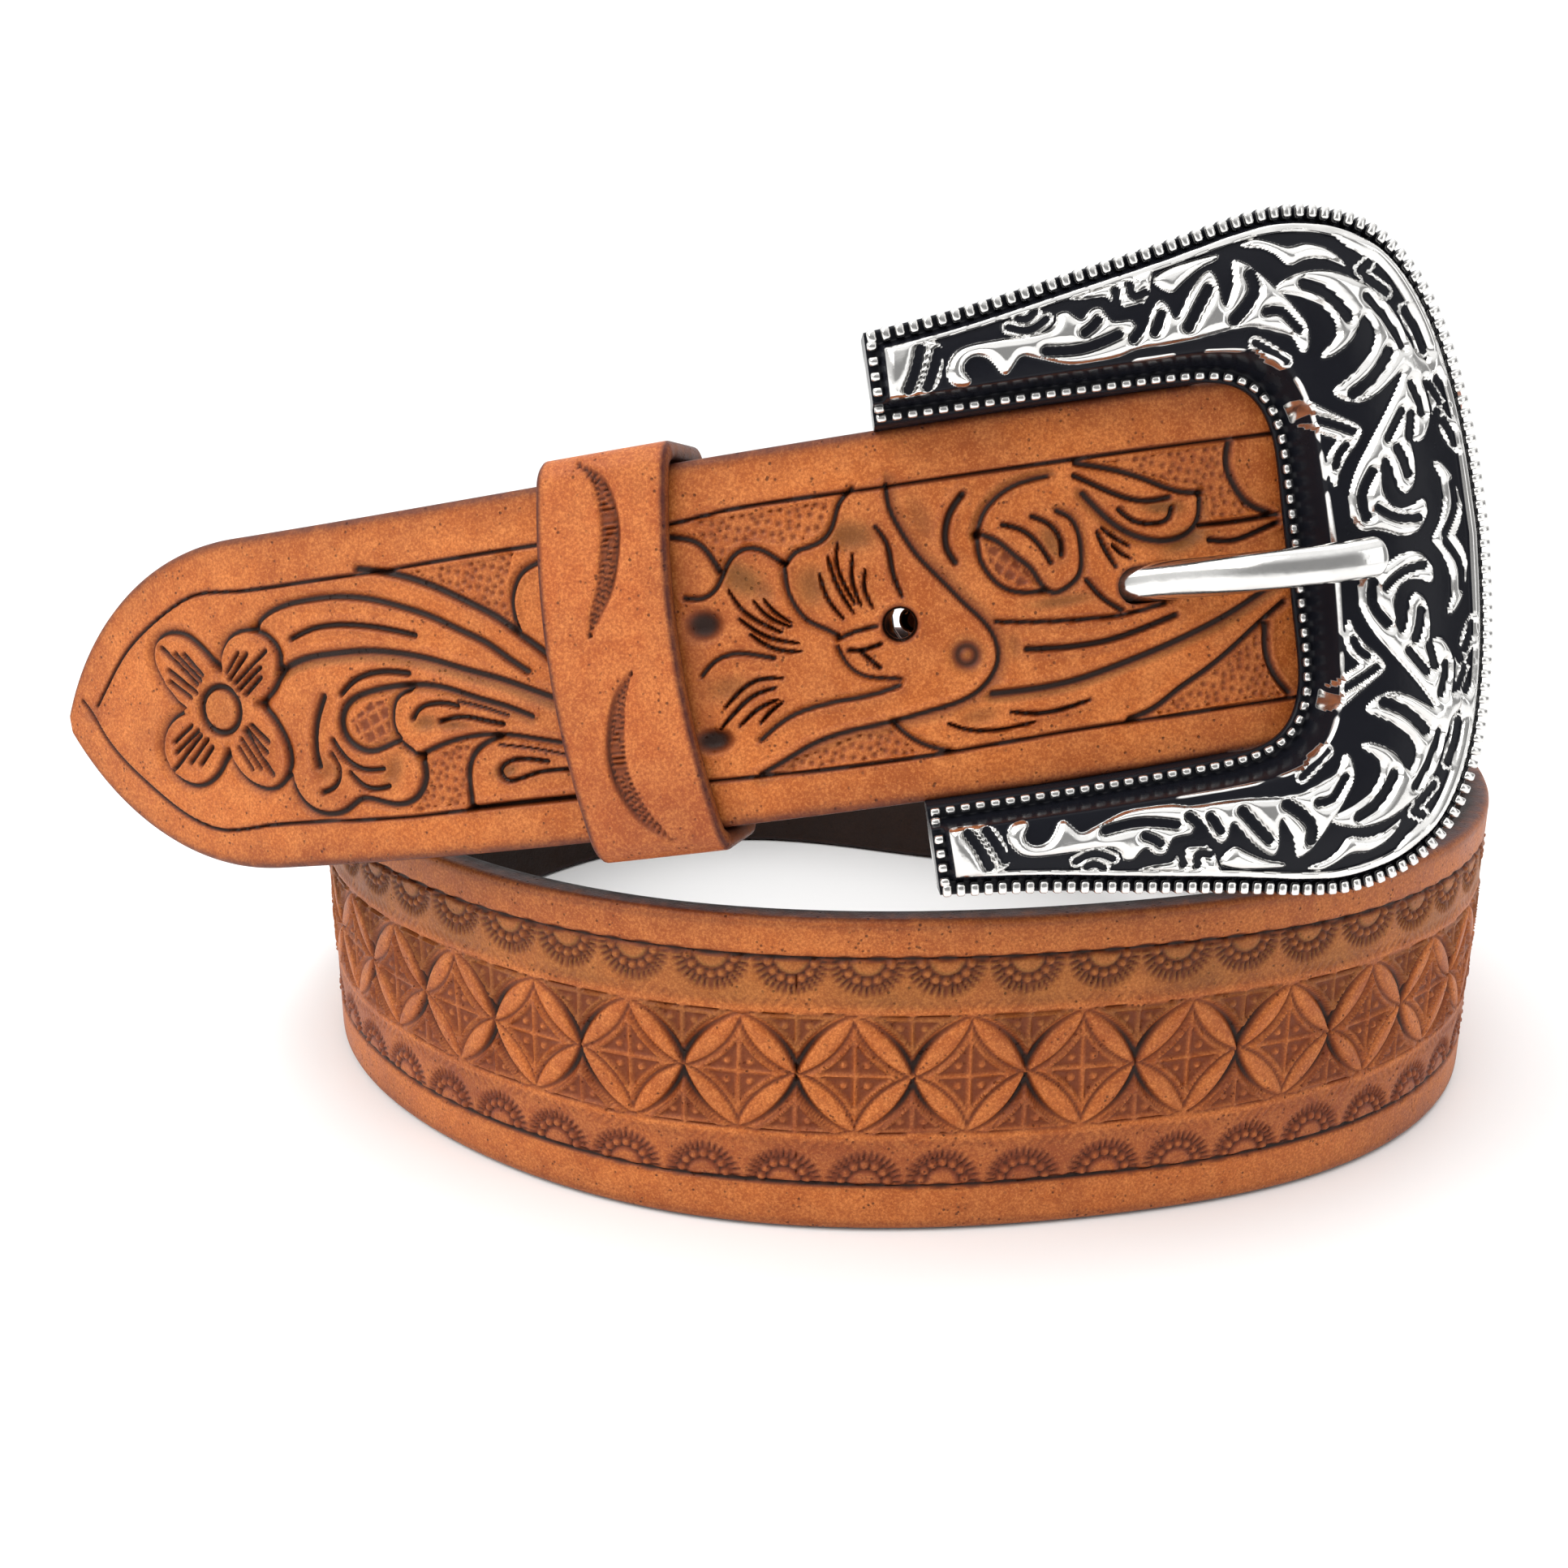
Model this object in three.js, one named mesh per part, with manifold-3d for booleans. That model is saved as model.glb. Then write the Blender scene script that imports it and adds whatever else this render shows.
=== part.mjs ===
// Western belt of tooled leather with a cast nickel buckle, fastened, standing on its edge in two turns.
// Millimetres, +Z up. Places along the strap are measured from the tip of its tail.
import * as THREE from "three";
import { mergeVertices } from "three/addons/utils/BufferGeometryUtils.js";
import Module from "manifold-3d";

const wasm = await Module();
wasm.setup();

// Strap
const strapWidth = 38.1;
const leatherThickness = 3.3;
const edgeBevel = 0.8;
const tipLength = 30;
const tipNose = 1.6;
const coilReach = 80;
const surfaceGap = 0.3;

// Holes for the prong: the third one from the tip is the one in use
const firstHoleAt = 80.7;
const holePitch = 25.4;
const holeDiameter = 4;
const holeCount = 5;
const holeInUse = 2;
const holeRise = -0.6;

// Fold of the strap round the buckle's bar
const barAt = 111;
const barDiameter = 3.8;
const underlapLeavesAt = 50;
const flapEndsAt = 60;
const flapCloses = 11;
const slotWidth = 5.6;
const slotBeforeBar = 5.8;

// Keeper loop
const keeperAt = 79;
const keeperWidth = 14.8;
const keeperThickness = 2;
const keeperCorner = 2.4;
const keeperEase = 0.5;

// Screws that close the fold
const screwPlaces = [65.5, 94.5];
const screwPost = 5;
const screwHead = 9;
const screwHeadThickness = 1;
const screwHeadEdge = 0.4;

// Buckle frame
const frameLength = 61.4;
const frameHalfHeight = 34.5;
const barInset = 5.2;
const openingLength = 40.5;
const edgeClearance = 0.9;
const frameBend = 170;
const frameBack = 0.6;
const armDrop = 3;
const armRises = { from: 0.15, to: 0.5 };
const armEndRound = 0.7;
const armEndShare = 0.012;
const rimHeight = 5.6;
const rimWidth = 1.7;
const rimSlope = 0.3;
const fieldHeight = 4.9;
const domeRise = 1.7;
const reliefHeight = 0.8;
const earThickness = 4;
const earRadius = 3.4;

// Prong
const prongWidth = 4;
const prongThickness = 3.2;
const prongLoopWire = 2.6;
const prongTipAt = 152.5;
const prongLevelRun = 0.3;
const prongLiftsAt = 0.62;
const prongSag = 0.85;
const prongMidRise = 0.66;
const noseParts = [0.4, 0.75, 0.97];

// Stations of the loops and curves
const stepTurn = THREE.MathUtils.degToRad(7);
const shortestStep = 0.9;
const longestStep = 9;
const tipStep = 2.5;
const roundSides = 16;
const loopSides = 8;
const loopSteps = 20;
const foldShares = [0, 0.06, 0.12, 0.2, 0.3, 0.45, 0.6, 0.8, 1];

const layerPitch = leatherThickness + surfaceGap;
const foldRadius = barDiameter / 2 + surfaceGap + leatherThickness / 2;
const openingHalf = strapWidth / 2 + edgeClearance;
const coverFace = leatherThickness / 2;

// The strap's middle line in plan, counter-clockwise from the tip of the tail: turn about the coil's axis
// in degrees, reach as a share of coilReach, rise of the strap off the floor as a share of its width, and
// the degrees that its top edge leans towards the axis.
const route = [
  { turn: -155.6, reach: 1.395, rise: 0.836, lean: 7 },
  { turn: -146.9, reach: 1.255, rise: 0.938, lean: 8 },
  { turn: -136.6, reach: 1.141, rise: 1.038, lean: 9 },
  { turn: -111.4, reach: 0.997, rise: 1.24, lean: 10 },
  { turn: -83, reach: 0.976, rise: 1.411, lean: 11 },
  { turn: -68.9, reach: 1.001, rise: 1.474, lean: 11 },
  { turn: -49.4, reach: 1.045, rise: 1.482, lean: 8 },
  { turn: -38.3, reach: 0.998, rise: 1.35, lean: 5 },
  { turn: -22.9, reach: 0.9, rise: 1.1, lean: 3 },
  { turn: -4.1, reach: 0.789, rise: 0.786, lean: 2 },
  { turn: 15.2, reach: 0.695, rise: 0.471, lean: 1 },
  { turn: 37.8, reach: 0.616, rise: 0.209, lean: 0 },
  { turn: 62.2, reach: 0.583, rise: 0.038, lean: 0 },
  { turn: 85.3, reach: 0.614, rise: 0, lean: 0 },
  { turn: 109.7, reach: 0.739, rise: 0, lean: 0 },
  { turn: 131.7, reach: 0.825, rise: 0, lean: 0 },
  { turn: 149.2, reach: 0.86, rise: 0, lean: 0 },
  { turn: 168.8, reach: 0.918, rise: 0, lean: 0 },
  { turn: 186.6, reach: 0.986, rise: 0, lean: 0 },
  { turn: 202.2, reach: 1.01, rise: 0, lean: 0 },
  { turn: 226.5, reach: 1.001, rise: 0, lean: 0 },
  { turn: 248.2, reach: 0.99, rise: 0, lean: 0 },
  { turn: 268, reach: 0.97, rise: 0, lean: 0 },
  { turn: 286.2, reach: 0.973, rise: 0, lean: 0 },
  { turn: 310.1, reach: 1.031, rise: 0, lean: 0 },
  { turn: 329.5, reach: 1.052, rise: 0, lean: 0 },
  { turn: 351.7, reach: 1.024, rise: 0, lean: 0 },
  { turn: 374.1, reach: 0.998, rise: 0, lean: 0 },
  { turn: 395.3, reach: 0.948, rise: 0, lean: 0 },
  { turn: 420.4, reach: 0.847, rise: 0, lean: 0 },
  { turn: 452.7, reach: 0.818, rise: 0, lean: 0 },
  { turn: 482, reach: 0.934, rise: 0, lean: 0 },
  { turn: 505.2, reach: 1.048, rise: 0.077, lean: 1 },
  { turn: 524.3, reach: 1.083, rise: 0.301, lean: 2 },
  { turn: 540.1, reach: 1.111, rise: 0.51, lean: 4 },
  { turn: 552.5, reach: 1.144, rise: 0.681, lean: 5 },
  { turn: 564.5, reach: 1.154, rise: 0.839, lean: 7 },
  { turn: 575.4, reach: 1.131, rise: 0.957, lean: 8 },
];

// Half of the frame's outline from the end of an arm to the middle of the right band. Outer points are
// shares of frameLength and frameHalfHeight, inner ones of openingLength and the opening's half height.
const outline = [
  { along: 0, out: 0.811, innerAlong: 0, inner: 0.99 },
  { along: 0.15, out: 0.84, innerAlong: 0.2, inner: 0.99 },
  { along: 0.31, out: 0.887, innerAlong: 0.4, inner: 1 },
  { along: 0.47, out: 0.937, innerAlong: 0.6, inner: 1 },
  { along: 0.58, out: 0.978, innerAlong: 0.73, inner: 1 },
  { along: 0.67, out: 1, innerAlong: 0.83, inner: 0.98 },
  { along: 0.75, out: 0.985, innerAlong: 0.91, inner: 0.915 },
  { along: 0.83, out: 0.93, innerAlong: 0.965, inner: 0.8 },
  { along: 0.895, out: 0.82, innerAlong: 0.993, inner: 0.65 },
  { along: 0.94, out: 0.67, innerAlong: 1, inner: 0.5 },
  { along: 0.97, out: 0.49, innerAlong: 1, inner: 0.35 },
  { along: 0.99, out: 0.27, innerAlong: 1, inner: 0.18 },
  { along: 1, out: 0, innerAlong: 1, inner: 0 },
];
const outlineSteps = 3;

// Raised leaves on one half of the frame: at is a share of the way from the arm's end to the middle of the
// right band, across a share of the band's width, heading and curl degrees, length and width shares of
// the band's greatest width.
const leaves = [
  { at: 0.03, across: 0.24, heading: 62, curl: 10, length: 0.24, width: 0.09 },
  { at: 0.075, across: 0.24, heading: 62, curl: 10, length: 0.24, width: 0.09 },
  { at: 0.14, across: 0.25, heading: 15, curl: 110, length: 0.34, width: 0.11 },
  { at: 0.24, across: 0.66, heading: -20, curl: 60, length: 0.36, width: 0.12 },
  { at: 0.36, across: 0.3, heading: 25, curl: -70, length: 0.42, width: 0.13 },
  { at: 0.45, across: 0.72, heading: -35, curl: 80, length: 0.44, width: 0.14 },
  { at: 0.55, across: 0.3, heading: 60, curl: -60, length: 0.52, width: 0.16 },
  { at: 0.66, across: 0.74, heading: -70, curl: 50, length: 0.5, width: 0.15 },
  { at: 0.73, across: 0.3, heading: 80, curl: -50, length: 0.5, width: 0.15 },
  { at: 0.83, across: 0.76, heading: -75, curl: 40, length: 0.5, width: 0.15 },
  { at: 0.9, across: 0.26, heading: 85, curl: -35, length: 0.46, width: 0.14 },
];
const leafStations = 5;
const leafTip = 0.08;

// Natural cubic spline through rows of numbers at rising knots, as a function of the knot value.
function splineThrough(knots, rows) {
  const last = rows.length - 1;
  const bends = rows.map((row) => row.map(() => 0));
  const weights = rows.map(() => 0);
  for (let i = 1; i < last; i++) {
    const before = knots[i] - knots[i - 1];
    const after = knots[i + 1] - knots[i];
    const pivot = 2 * (before + after) - before * weights[i - 1];
    weights[i] = after / pivot;
    bends[i] = rows[i].map((value, c) => {
      const kink = (rows[i + 1][c] - value) / after - (value - rows[i - 1][c]) / before;
      return (6 * kink - before * bends[i - 1][c]) / pivot;
    });
  }
  for (let i = last - 1; i > 0; i--) {
    bends[i] = bends[i].map((bend, c) => bend - weights[i] * bends[i + 1][c]);
  }
  return (knot) => {
    let i = 1;
    while (i < last && knots[i] < knot) i++;
    const span = knots[i] - knots[i - 1];
    const b = (knot - knots[i - 1]) / span;
    const a = 1 - b;
    return rows[i].map((value, c) => {
      const bow = (a ** 3 - a) * bends[i - 1][c] + (b ** 3 - b) * bends[i][c];
      return a * rows[i - 1][c] + b * value + (bow * span * span) / 6;
    });
  };
}

// Strap path through points with a width direction at each. frame(length) gives the leather's middle point
// there, never low enough to sink into the floor, the way the strap runs, its width direction and its
// outward direction.
function pathThrough(points, ups) {
  const knots = [0];
  for (let i = 1; i < points.length; i++) {
    knots.push(knots[i - 1] + points[i].distanceTo(points[i - 1]));
  }
  const spline = splineThrough(
    knots,
    points.map((point, i) => [...point.toArray(), ...ups[i].toArray()]),
  );
  const pointAt = (knot) => new THREE.Vector3().fromArray(spline(knot));
  const end = knots[knots.length - 1];
  const markCount = Math.ceil(end);
  const marks = [{ knot: 0, length: 0 }];
  for (let i = 1; i <= markCount; i++) {
    const knot = (end * i) / markCount;
    const step = pointAt(knot).distanceTo(pointAt(marks[i - 1].knot));
    marks.push({ knot, length: marks[i - 1].length + step });
  }
  const knotAt = (length) => {
    let i = 1;
    while (i < markCount && marks[i].length < length) i++;
    const share = (length - marks[i - 1].length) / (marks[i].length - marks[i - 1].length);
    return THREE.MathUtils.lerp(marks[i - 1].knot, marks[i].knot, share);
  };
  const nudge = 0.05;
  const frame = (length) => {
    const knot = knotAt(length);
    const values = spline(knot);
    const middle = new THREE.Vector3().fromArray(values);
    middle.z = Math.max(middle.z, strapWidth / 2);
    const along = pointAt(knot + nudge).sub(pointAt(knot - nudge)).normalize();
    const up = new THREE.Vector3().fromArray(values, 3);
    up.addScaledVector(along, -up.dot(along)).normalize();
    return { middle, along, up, outward: along.clone().cross(up) };
  };
  return { length: marks[markCount].length, frame };
}

// Point at a height up the strap and a distance outward from the leather's middle.
function placeOn(frame, height, outward) {
  return frame.middle
    .clone()
    .addScaledVector(frame.up, height)
    .addScaledVector(frame.outward, outward);
}

// Closed body through rings of equally many points; section is one ring in its own plane, for the end caps.
function loft(rings, section) {
  const count = section.length;
  const index = [];
  for (let i = 0; i + 1 < rings.length; i++) {
    for (let j = 0; j < count; j++) {
      const a = i * count + j;
      const b = i * count + ((j + 1) % count);
      index.push(a, b, b + count, a, b + count, a + count);
    }
  }
  const end = (rings.length - 1) * count;
  const clockwise = THREE.ShapeUtils.isClockWise(section);
  for (const [a, p, q] of THREE.ShapeUtils.triangulateShape(section, [])) {
    const [b, c] = clockwise ? [q, p] : [p, q];
    index.push(a, c, b, end + a, end + b, end + c);
  }
  const geometry = new THREE.BufferGeometry();
  const positions = rings.flat().flatMap((point) => point.toArray());
  geometry.setAttribute("position", new THREE.Float32BufferAttribute(positions, 3));
  geometry.setIndex(index);
  return geometry;
}

// Solid of a closed geometry, its faces turned outwards.
function solidOf(geometry) {
  const bare = geometry.clone();
  bare.deleteAttribute("normal");
  bare.deleteAttribute("uv");
  const merged = mergeVertices(bare, 1e-3);
  const corners = new Uint32Array(merged.index.array);
  const build = () =>
    new wasm.Manifold(
      new wasm.Mesh({
        numProp: 3,
        vertProperties: new Float32Array(merged.attributes.position.array),
        triVerts: corners,
      }),
    );
  const solid = build();
  if (solid.volume() > 0) return solid;
  for (let i = 0; i < corners.length; i += 3) {
    [corners[i], corners[i + 1]] = [corners[i + 1], corners[i]];
  }
  return build();
}

function geometryOf(solid) {
  const mesh = solid.getMesh();
  const geometry = new THREE.BufferGeometry();
  geometry.setAttribute("position", new THREE.BufferAttribute(mesh.vertProperties, 3));
  geometry.setIndex(new THREE.BufferAttribute(mesh.triVerts, 1));
  geometry.computeVertexNormals();
  return geometry;
}

// Turns a geometry whose x runs along the strap, y outward and z up the strap into a frame's place.
function setInto(geometry, origin, frame) {
  const turn = new THREE.Matrix4().makeBasis(frame.along, frame.outward, frame.up);
  return geometry.applyMatrix4(turn.setPosition(origin));
}

// Round rod between two heights of a frame, its axis up the strap.
function rodUp(origin, frame, radius, half) {
  const rod = new THREE.CylinderGeometry(radius, radius, 2 * half, roundSides);
  return setInto(rod.rotateX(Math.PI / 2), origin, frame);
}

// Round rod through the leather at a height, from one outward distance to another.
function rodThrough(frame, height, radius, inner, outer) {
  const rod = new THREE.CylinderGeometry(radius, radius, outer - inner, roundSides);
  return setInto(rod, placeOn(frame, height, (inner + outer) / 2), frame);
}

function routePoints() {
  const points = [];
  const ups = [];
  for (const row of route) {
    const turn = THREE.MathUtils.degToRad(row.turn);
    const lean = THREE.MathUtils.degToRad(row.lean);
    const away = new THREE.Vector3(Math.cos(turn), Math.sin(turn), 0);
    const point = away.clone().multiplyScalar(row.reach * coilReach);
    point.z = (row.rise + 0.5) * strapWidth;
    points.push(point);
    ups.push(away.multiplyScalar(-Math.sin(lean)).setZ(Math.cos(lean)));
  }
  return { points, ups };
}

// The loose part of the route gives the tail, and the understrap, fold and flap are laid behind the tail.
const loose = routePoints();
const tail = pathThrough(loose.points, loose.ups);
const barFrame = tail.frame(barAt);
const barCentre = placeOn(barFrame, 0, -layerPitch - foldRadius);

function flapDepth(place) {
  const open = THREE.MathUtils.smoothstep(place, barAt - flapCloses, barAt);
  return THREE.MathUtils.lerp(2 * layerPitch, layerPitch + 2 * foldRadius, open);
}

function foldedStrap() {
  const points = [...loose.points];
  const ups = [...loose.ups];
  const add = (point, frame) => {
    points.push(point);
    ups.push(frame.up.clone());
  };
  for (const share of [...foldShares].reverse()) {
    const frame = tail.frame(THREE.MathUtils.lerp(barAt, underlapLeavesAt, share));
    add(placeOn(frame, 0, -layerPitch), frame);
  }
  for (let turn = 30; turn < 180; turn += 30) {
    const angle = THREE.MathUtils.degToRad(turn);
    const point = barCentre
      .clone()
      .addScaledVector(barFrame.along, foldRadius * Math.sin(angle))
      .addScaledVector(barFrame.outward, foldRadius * Math.cos(angle));
    add(point, barFrame);
  }
  for (const share of foldShares) {
    const place = THREE.MathUtils.lerp(barAt, flapEndsAt, share);
    const frame = tail.frame(place);
    add(placeOn(frame, 0, -flapDepth(place)), frame);
  }
  return pathThrough(points, ups);
}
const strapPath = foldedStrap();

// Half width of the strap: a pointed tip with round sides, then the full width.
function halfWidth(place) {
  if (place >= tipLength) return strapWidth / 2;
  const rise = strapWidth / 2 - tipNose;
  const radius = (tipLength ** 2 + rise ** 2) / (2 * rise);
  const back = tipLength - place;
  return strapWidth / 2 - (radius - Math.sqrt(radius ** 2 - back ** 2));
}

function leatherSection(half) {
  const face = leatherThickness / 2;
  return [
    [-half, -face + edgeBevel],
    [-half, face - edgeBevel],
    [-half + edgeBevel, face],
    [half - edgeBevel, face],
    [half, face - edgeBevel],
    [half, -face + edgeBevel],
    [half - edgeBevel, -face],
    [-half + edgeBevel, -face],
  ].map(([height, outward]) => new THREE.Vector2(height, outward));
}

// Places of the strap's cross-sections, closer where it bends and at the tip.
function strapStations() {
  const places = [0];
  while (places[places.length - 1] < strapPath.length) {
    const place = places[places.length - 1];
    const here = strapPath.frame(place);
    const ahead = strapPath.frame(Math.min(place + shortestStep, strapPath.length));
    const bend = here.along.angleTo(ahead.along) / shortestStep;
    const longest = place < tipLength ? tipStep : longestStep;
    places.push(place + THREE.MathUtils.clamp(stepTurn / bend, shortestStep, longest));
  }
  places[places.length - 1] = strapPath.length;
  return places;
}

function strapBlank() {
  const rings = strapStations().map((place) => {
    const frame = strapPath.frame(place);
    return leatherSection(halfWidth(place)).map((point) => placeOn(frame, point.x, point.y));
  });
  return solidOf(loft(rings, leatherSection(strapWidth / 2)));
}

// Slot in the fold for the prong's loop. It stops between the tail and the understrap.
function prongSlot() {
  const half = slotWidth / 2;
  const top = -layerPitch / 2;
  const deep = -layerPitch - 2 * foldRadius - leatherThickness;
  const start = barAt - slotBeforeBar;
  const end = barAt + foldRadius + leatherThickness;
  const roundEnd = [0.03, 0.25, 0.6, 1];
  const places = roundEnd.map((share) => start + half * share);
  const steps = 5;
  for (let i = 1; i <= steps; i++) {
    places.push(THREE.MathUtils.lerp(start + half, end, i / steps));
  }
  const sectionAt = (place) => {
    const short = Math.max(0, start + half - place);
    const width = Math.sqrt(half ** 2 - short ** 2);
    return [
      new THREE.Vector2(holeRise - width, deep),
      new THREE.Vector2(holeRise - width, top),
      new THREE.Vector2(holeRise + width, top),
      new THREE.Vector2(holeRise + width, deep),
    ];
  };
  const rings = places.map((place) => {
    const frame = tail.frame(place);
    return sectionAt(place).map((point) => placeOn(frame, point.x, point.y));
  });
  return solidOf(loft(rings, sectionAt(end)));
}

// The frame is cast on a bow that meets the strap's outer face at the hole in use.
const holeInUseAt = firstHoleAt + holePitch * holeInUse;
const bowFrame = tail.frame(holeInUseAt);
const bowOrigin = placeOn(bowFrame, 0, coverFace);
const frameStart = barAt - barInset;

function onBow(place, height, outward) {
  const angle = (place - holeInUseAt) / frameBend;
  const radius = frameBend + outward;
  return bowOrigin
    .clone()
    .addScaledVector(bowFrame.along, radius * Math.sin(angle))
    .addScaledVector(bowFrame.outward, radius * Math.cos(angle) - frameBend)
    .addScaledVector(bowFrame.up, height);
}

const outlineSpline = splineThrough(
  outline.map((row, i) => i),
  outline.map((row) => [row.along, row.out, row.innerAlong, row.inner]),
);

// Inner and outer edge of the band at a share of the way from an arm's end to the right middle.
function bandEdges(share, side) {
  const [along, out, innerAlong, inner] = outlineSpline(share * (outline.length - 1));
  return {
    outer: new THREE.Vector2(frameStart + along * frameLength, side * out * frameHalfHeight),
    inner: new THREE.Vector2(frameStart + innerAlong * openingLength, side * inner * openingHalf),
  };
}

const greatestBand = frameLength - openingLength;

function fieldLevel(across, bandWidth) {
  return fieldHeight + domeRise * Math.sin(Math.PI * across) * (bandWidth / greatestBand);
}

// Point of the band: share along the half, side +1 above and -1 below, share across, outward distance.
function onBand(share, side, across, outward) {
  const { inner, outer } = bandEdges(share, side);
  const flat = inner.lerp(outer, across);
  return onBow(flat.x, flat.y, outward);
}

function bandWidthAt(share) {
  const { inner, outer } = bandEdges(share, 1);
  return inner.distanceTo(outer);
}

function bandSection(share, inset) {
  const width = bandWidthAt(share);
  const rim = rimWidth / width;
  const near = inset / width;
  const low = 1 - THREE.MathUtils.smoothstep(share, armRises.from, armRises.to);
  const back = frameBack - armDrop * low + inset;
  const top = rimHeight - inset;
  const shoulder = top - rimWidth * rimSlope;
  const rise = [0.2, 0.4, 0.6, 0.8].map((part) => rim + (1 - 2 * rim) * part);
  return [
    [near, back],
    [near, shoulder],
    [near + rim * rimSlope, top],
    [rim * (1 - rimSlope), top],
    [rim, fieldLevel(0, width) - inset],
    ...rise.map((across) => [across, fieldLevel(across, width) - inset]),
    [1 - rim, fieldLevel(1, width) - inset],
    [1 - rim * (1 - rimSlope), top],
    [1 - near - rim * rimSlope, top],
    [1 - near, shoulder],
    [1 - near, back],
  ].map(([across, outward]) => new THREE.Vector2(across, outward));
}

function frameBand() {
  const halfStations = (outline.length - 1) * outlineSteps;
  const shares = [{ share: 0, inset: armEndRound }, { share: armEndShare, inset: 0 }];
  for (let i = 1; i <= halfStations; i++) shares.push({ share: i / halfStations, inset: 0 });
  const stations = [
    ...shares.map((station) => ({ ...station, side: 1 })),
    ...shares.slice(0, -1).reverse().map((station) => ({ ...station, side: -1 })),
  ];
  const rings = stations.map(({ share, inset, side }) =>
    bandSection(share, inset).map((point) => onBand(share, side, point.x, point.y)),
  );
  const cap = bandSection(0, 0).map((point) => new THREE.Vector2(point.x * bandWidthAt(0), point.y));
  return solidOf(loft(rings, cap));
}

// Raised leaf that follows a curled spine over the band, its foot sunk into the casting.
function leafSolid(leaf, side) {
  const halfRun = frameLength + frameHalfHeight - greatestBand;
  const step = (leaf.length * greatestBand) / leafStations;
  const foot = -reliefHeight;
  let share = leaf.at;
  let across = leaf.across;
  const section = [-1, -0.5, 0.5, 1];
  const rings = [];
  for (let i = 0; i <= leafStations; i++) {
    const part = i / leafStations;
    const heading = THREE.MathUtils.degToRad(leaf.heading + leaf.curl * part);
    const bandWidth = bandWidthAt(share);
    const swell = Math.sin(Math.PI * THREE.MathUtils.lerp(leafTip, 1 - leafTip, part));
    const half = leaf.width * greatestBand * Math.sqrt(swell);
    const corner = (sideways, lift) => {
      const atPoint = share - (Math.sin(heading) * sideways) / halfRun;
      const acrossPoint = across + (Math.cos(heading) * sideways) / bandWidth;
      return onBand(atPoint, side, acrossPoint, fieldLevel(acrossPoint, bandWidth) + lift);
    };
    const crown = section.map((place) => {
      const lift = Math.abs(place) === 1 ? 0 : reliefHeight;
      return corner(place * half, lift);
    });
    rings.push([corner(-half, foot), ...crown, corner(half, foot)]);
    share += (Math.cos(heading) * step) / halfRun;
    across += (Math.sin(heading) * step) / bandWidth;
  }
  const cap = [[-1, foot], [-1, 0], [-0.5, 1], [0.5, 1], [1, 0], [1, foot]];
  return solidOf(loft(rings, cap.map(([x, y]) => new THREE.Vector2(x, y))));
}

// Ear that carries an end of the bar and runs out into the arm.
function earSolid(side) {
  const reach = onBow(barAt, 0, 0).sub(barCentre).dot(barFrame.outward);
  const shape = new THREE.Shape();
  shape.absarc(0, 0, earRadius, Math.PI, 2 * Math.PI, false);
  shape.lineTo(earRadius, reach);
  shape.lineTo(-earRadius, reach);
  const ear = new THREE.ExtrudeGeometry(shape, {
    depth: earThickness,
    bevelEnabled: false,
    curveSegments: roundSides / 2,
  });
  const centre = openingHalf + earThickness / 2;
  ear.translate(0, 0, side * centre - earThickness / 2);
  return solidOf(setInto(ear, barCentre, barFrame));
}

function buckleFrame() {
  let casting = frameBand();
  for (const side of [1, -1]) {
    casting = casting.add(earSolid(side));
    for (const leaf of leaves) casting = casting.add(leafSolid(leaf, side));
  }
  const bar = rodUp(barCentre, barFrame, barDiameter / 2, openingHalf + earThickness / 2);
  return casting.add(solidOf(bar));
}

// Prong: a loop round the bar and an arm that rises through the hole onto the right band.
const loopRadius = barDiameter / 2 + surfaceGap + prongLoopWire / 2;
const restHeight = fieldHeight + domeRise + reliefHeight + surfaceGap + prongThickness / 2;
const loopCentre = barCentre.clone().addScaledVector(barFrame.up, holeRise);
const armSteps = 20;
const armSides = 10;

function prongLine() {
  const reach = holeInUseAt - barAt;
  const bandStart = frameStart + openingLength;
  const loopTop = loopCentre.clone().addScaledVector(barFrame.outward, loopRadius);
  const under = -coverFace - layerPitch - foldRadius + loopRadius;
  return new THREE.CatmullRomCurve3(
    [
      loopTop,
      loopTop.clone().addScaledVector(barFrame.along, prongLevelRun * reach),
      onBow(barAt + prongLiftsAt * reach, holeRise, under * prongSag),
      onBow(holeInUseAt - holeDiameter / 2, holeRise, -coverFace),
      onBow(THREE.MathUtils.lerp(holeInUseAt, bandStart, 0.5), holeRise, restHeight * prongMidRise),
      onBow(bandStart + prongThickness / 2, holeRise, restHeight),
      onBow(prongTipAt, holeRise, restHeight),
    ],
    false,
    "centripetal",
  );
}

function prongArm(clearance) {
  const line = prongLine();
  const circle = Array.from({ length: armSides }, (none, i) => {
    const angle = (2 * Math.PI * i) / armSides;
    return new THREE.Vector2(Math.cos(angle), Math.sin(angle));
  });
  const noseShare = prongThickness / 2 / line.getLength();
  const stations = [];
  for (let i = 0; i <= armSteps; i++) {
    stations.push({ share: (i / armSteps) * (1 - noseShare), scale: 1 });
  }
  for (const part of noseParts) {
    stations.push({ share: 1 - noseShare * (1 - part), scale: Math.sqrt(1 - part ** 2) });
  }
  const rings = stations.map(({ share, scale }) => {
    const middle = line.getPointAt(share);
    const outward = line.getTangentAt(share).cross(bowFrame.up).normalize();
    const halfWide = (prongWidth / 2) * scale + clearance;
    const halfThick = (prongThickness / 2) * scale + clearance;
    return circle.map((point) =>
      middle
        .clone()
        .addScaledVector(bowFrame.up, point.x * halfWide)
        .addScaledVector(outward, point.y * halfThick),
    );
  });
  return solidOf(loft(rings, circle));
}

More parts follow.
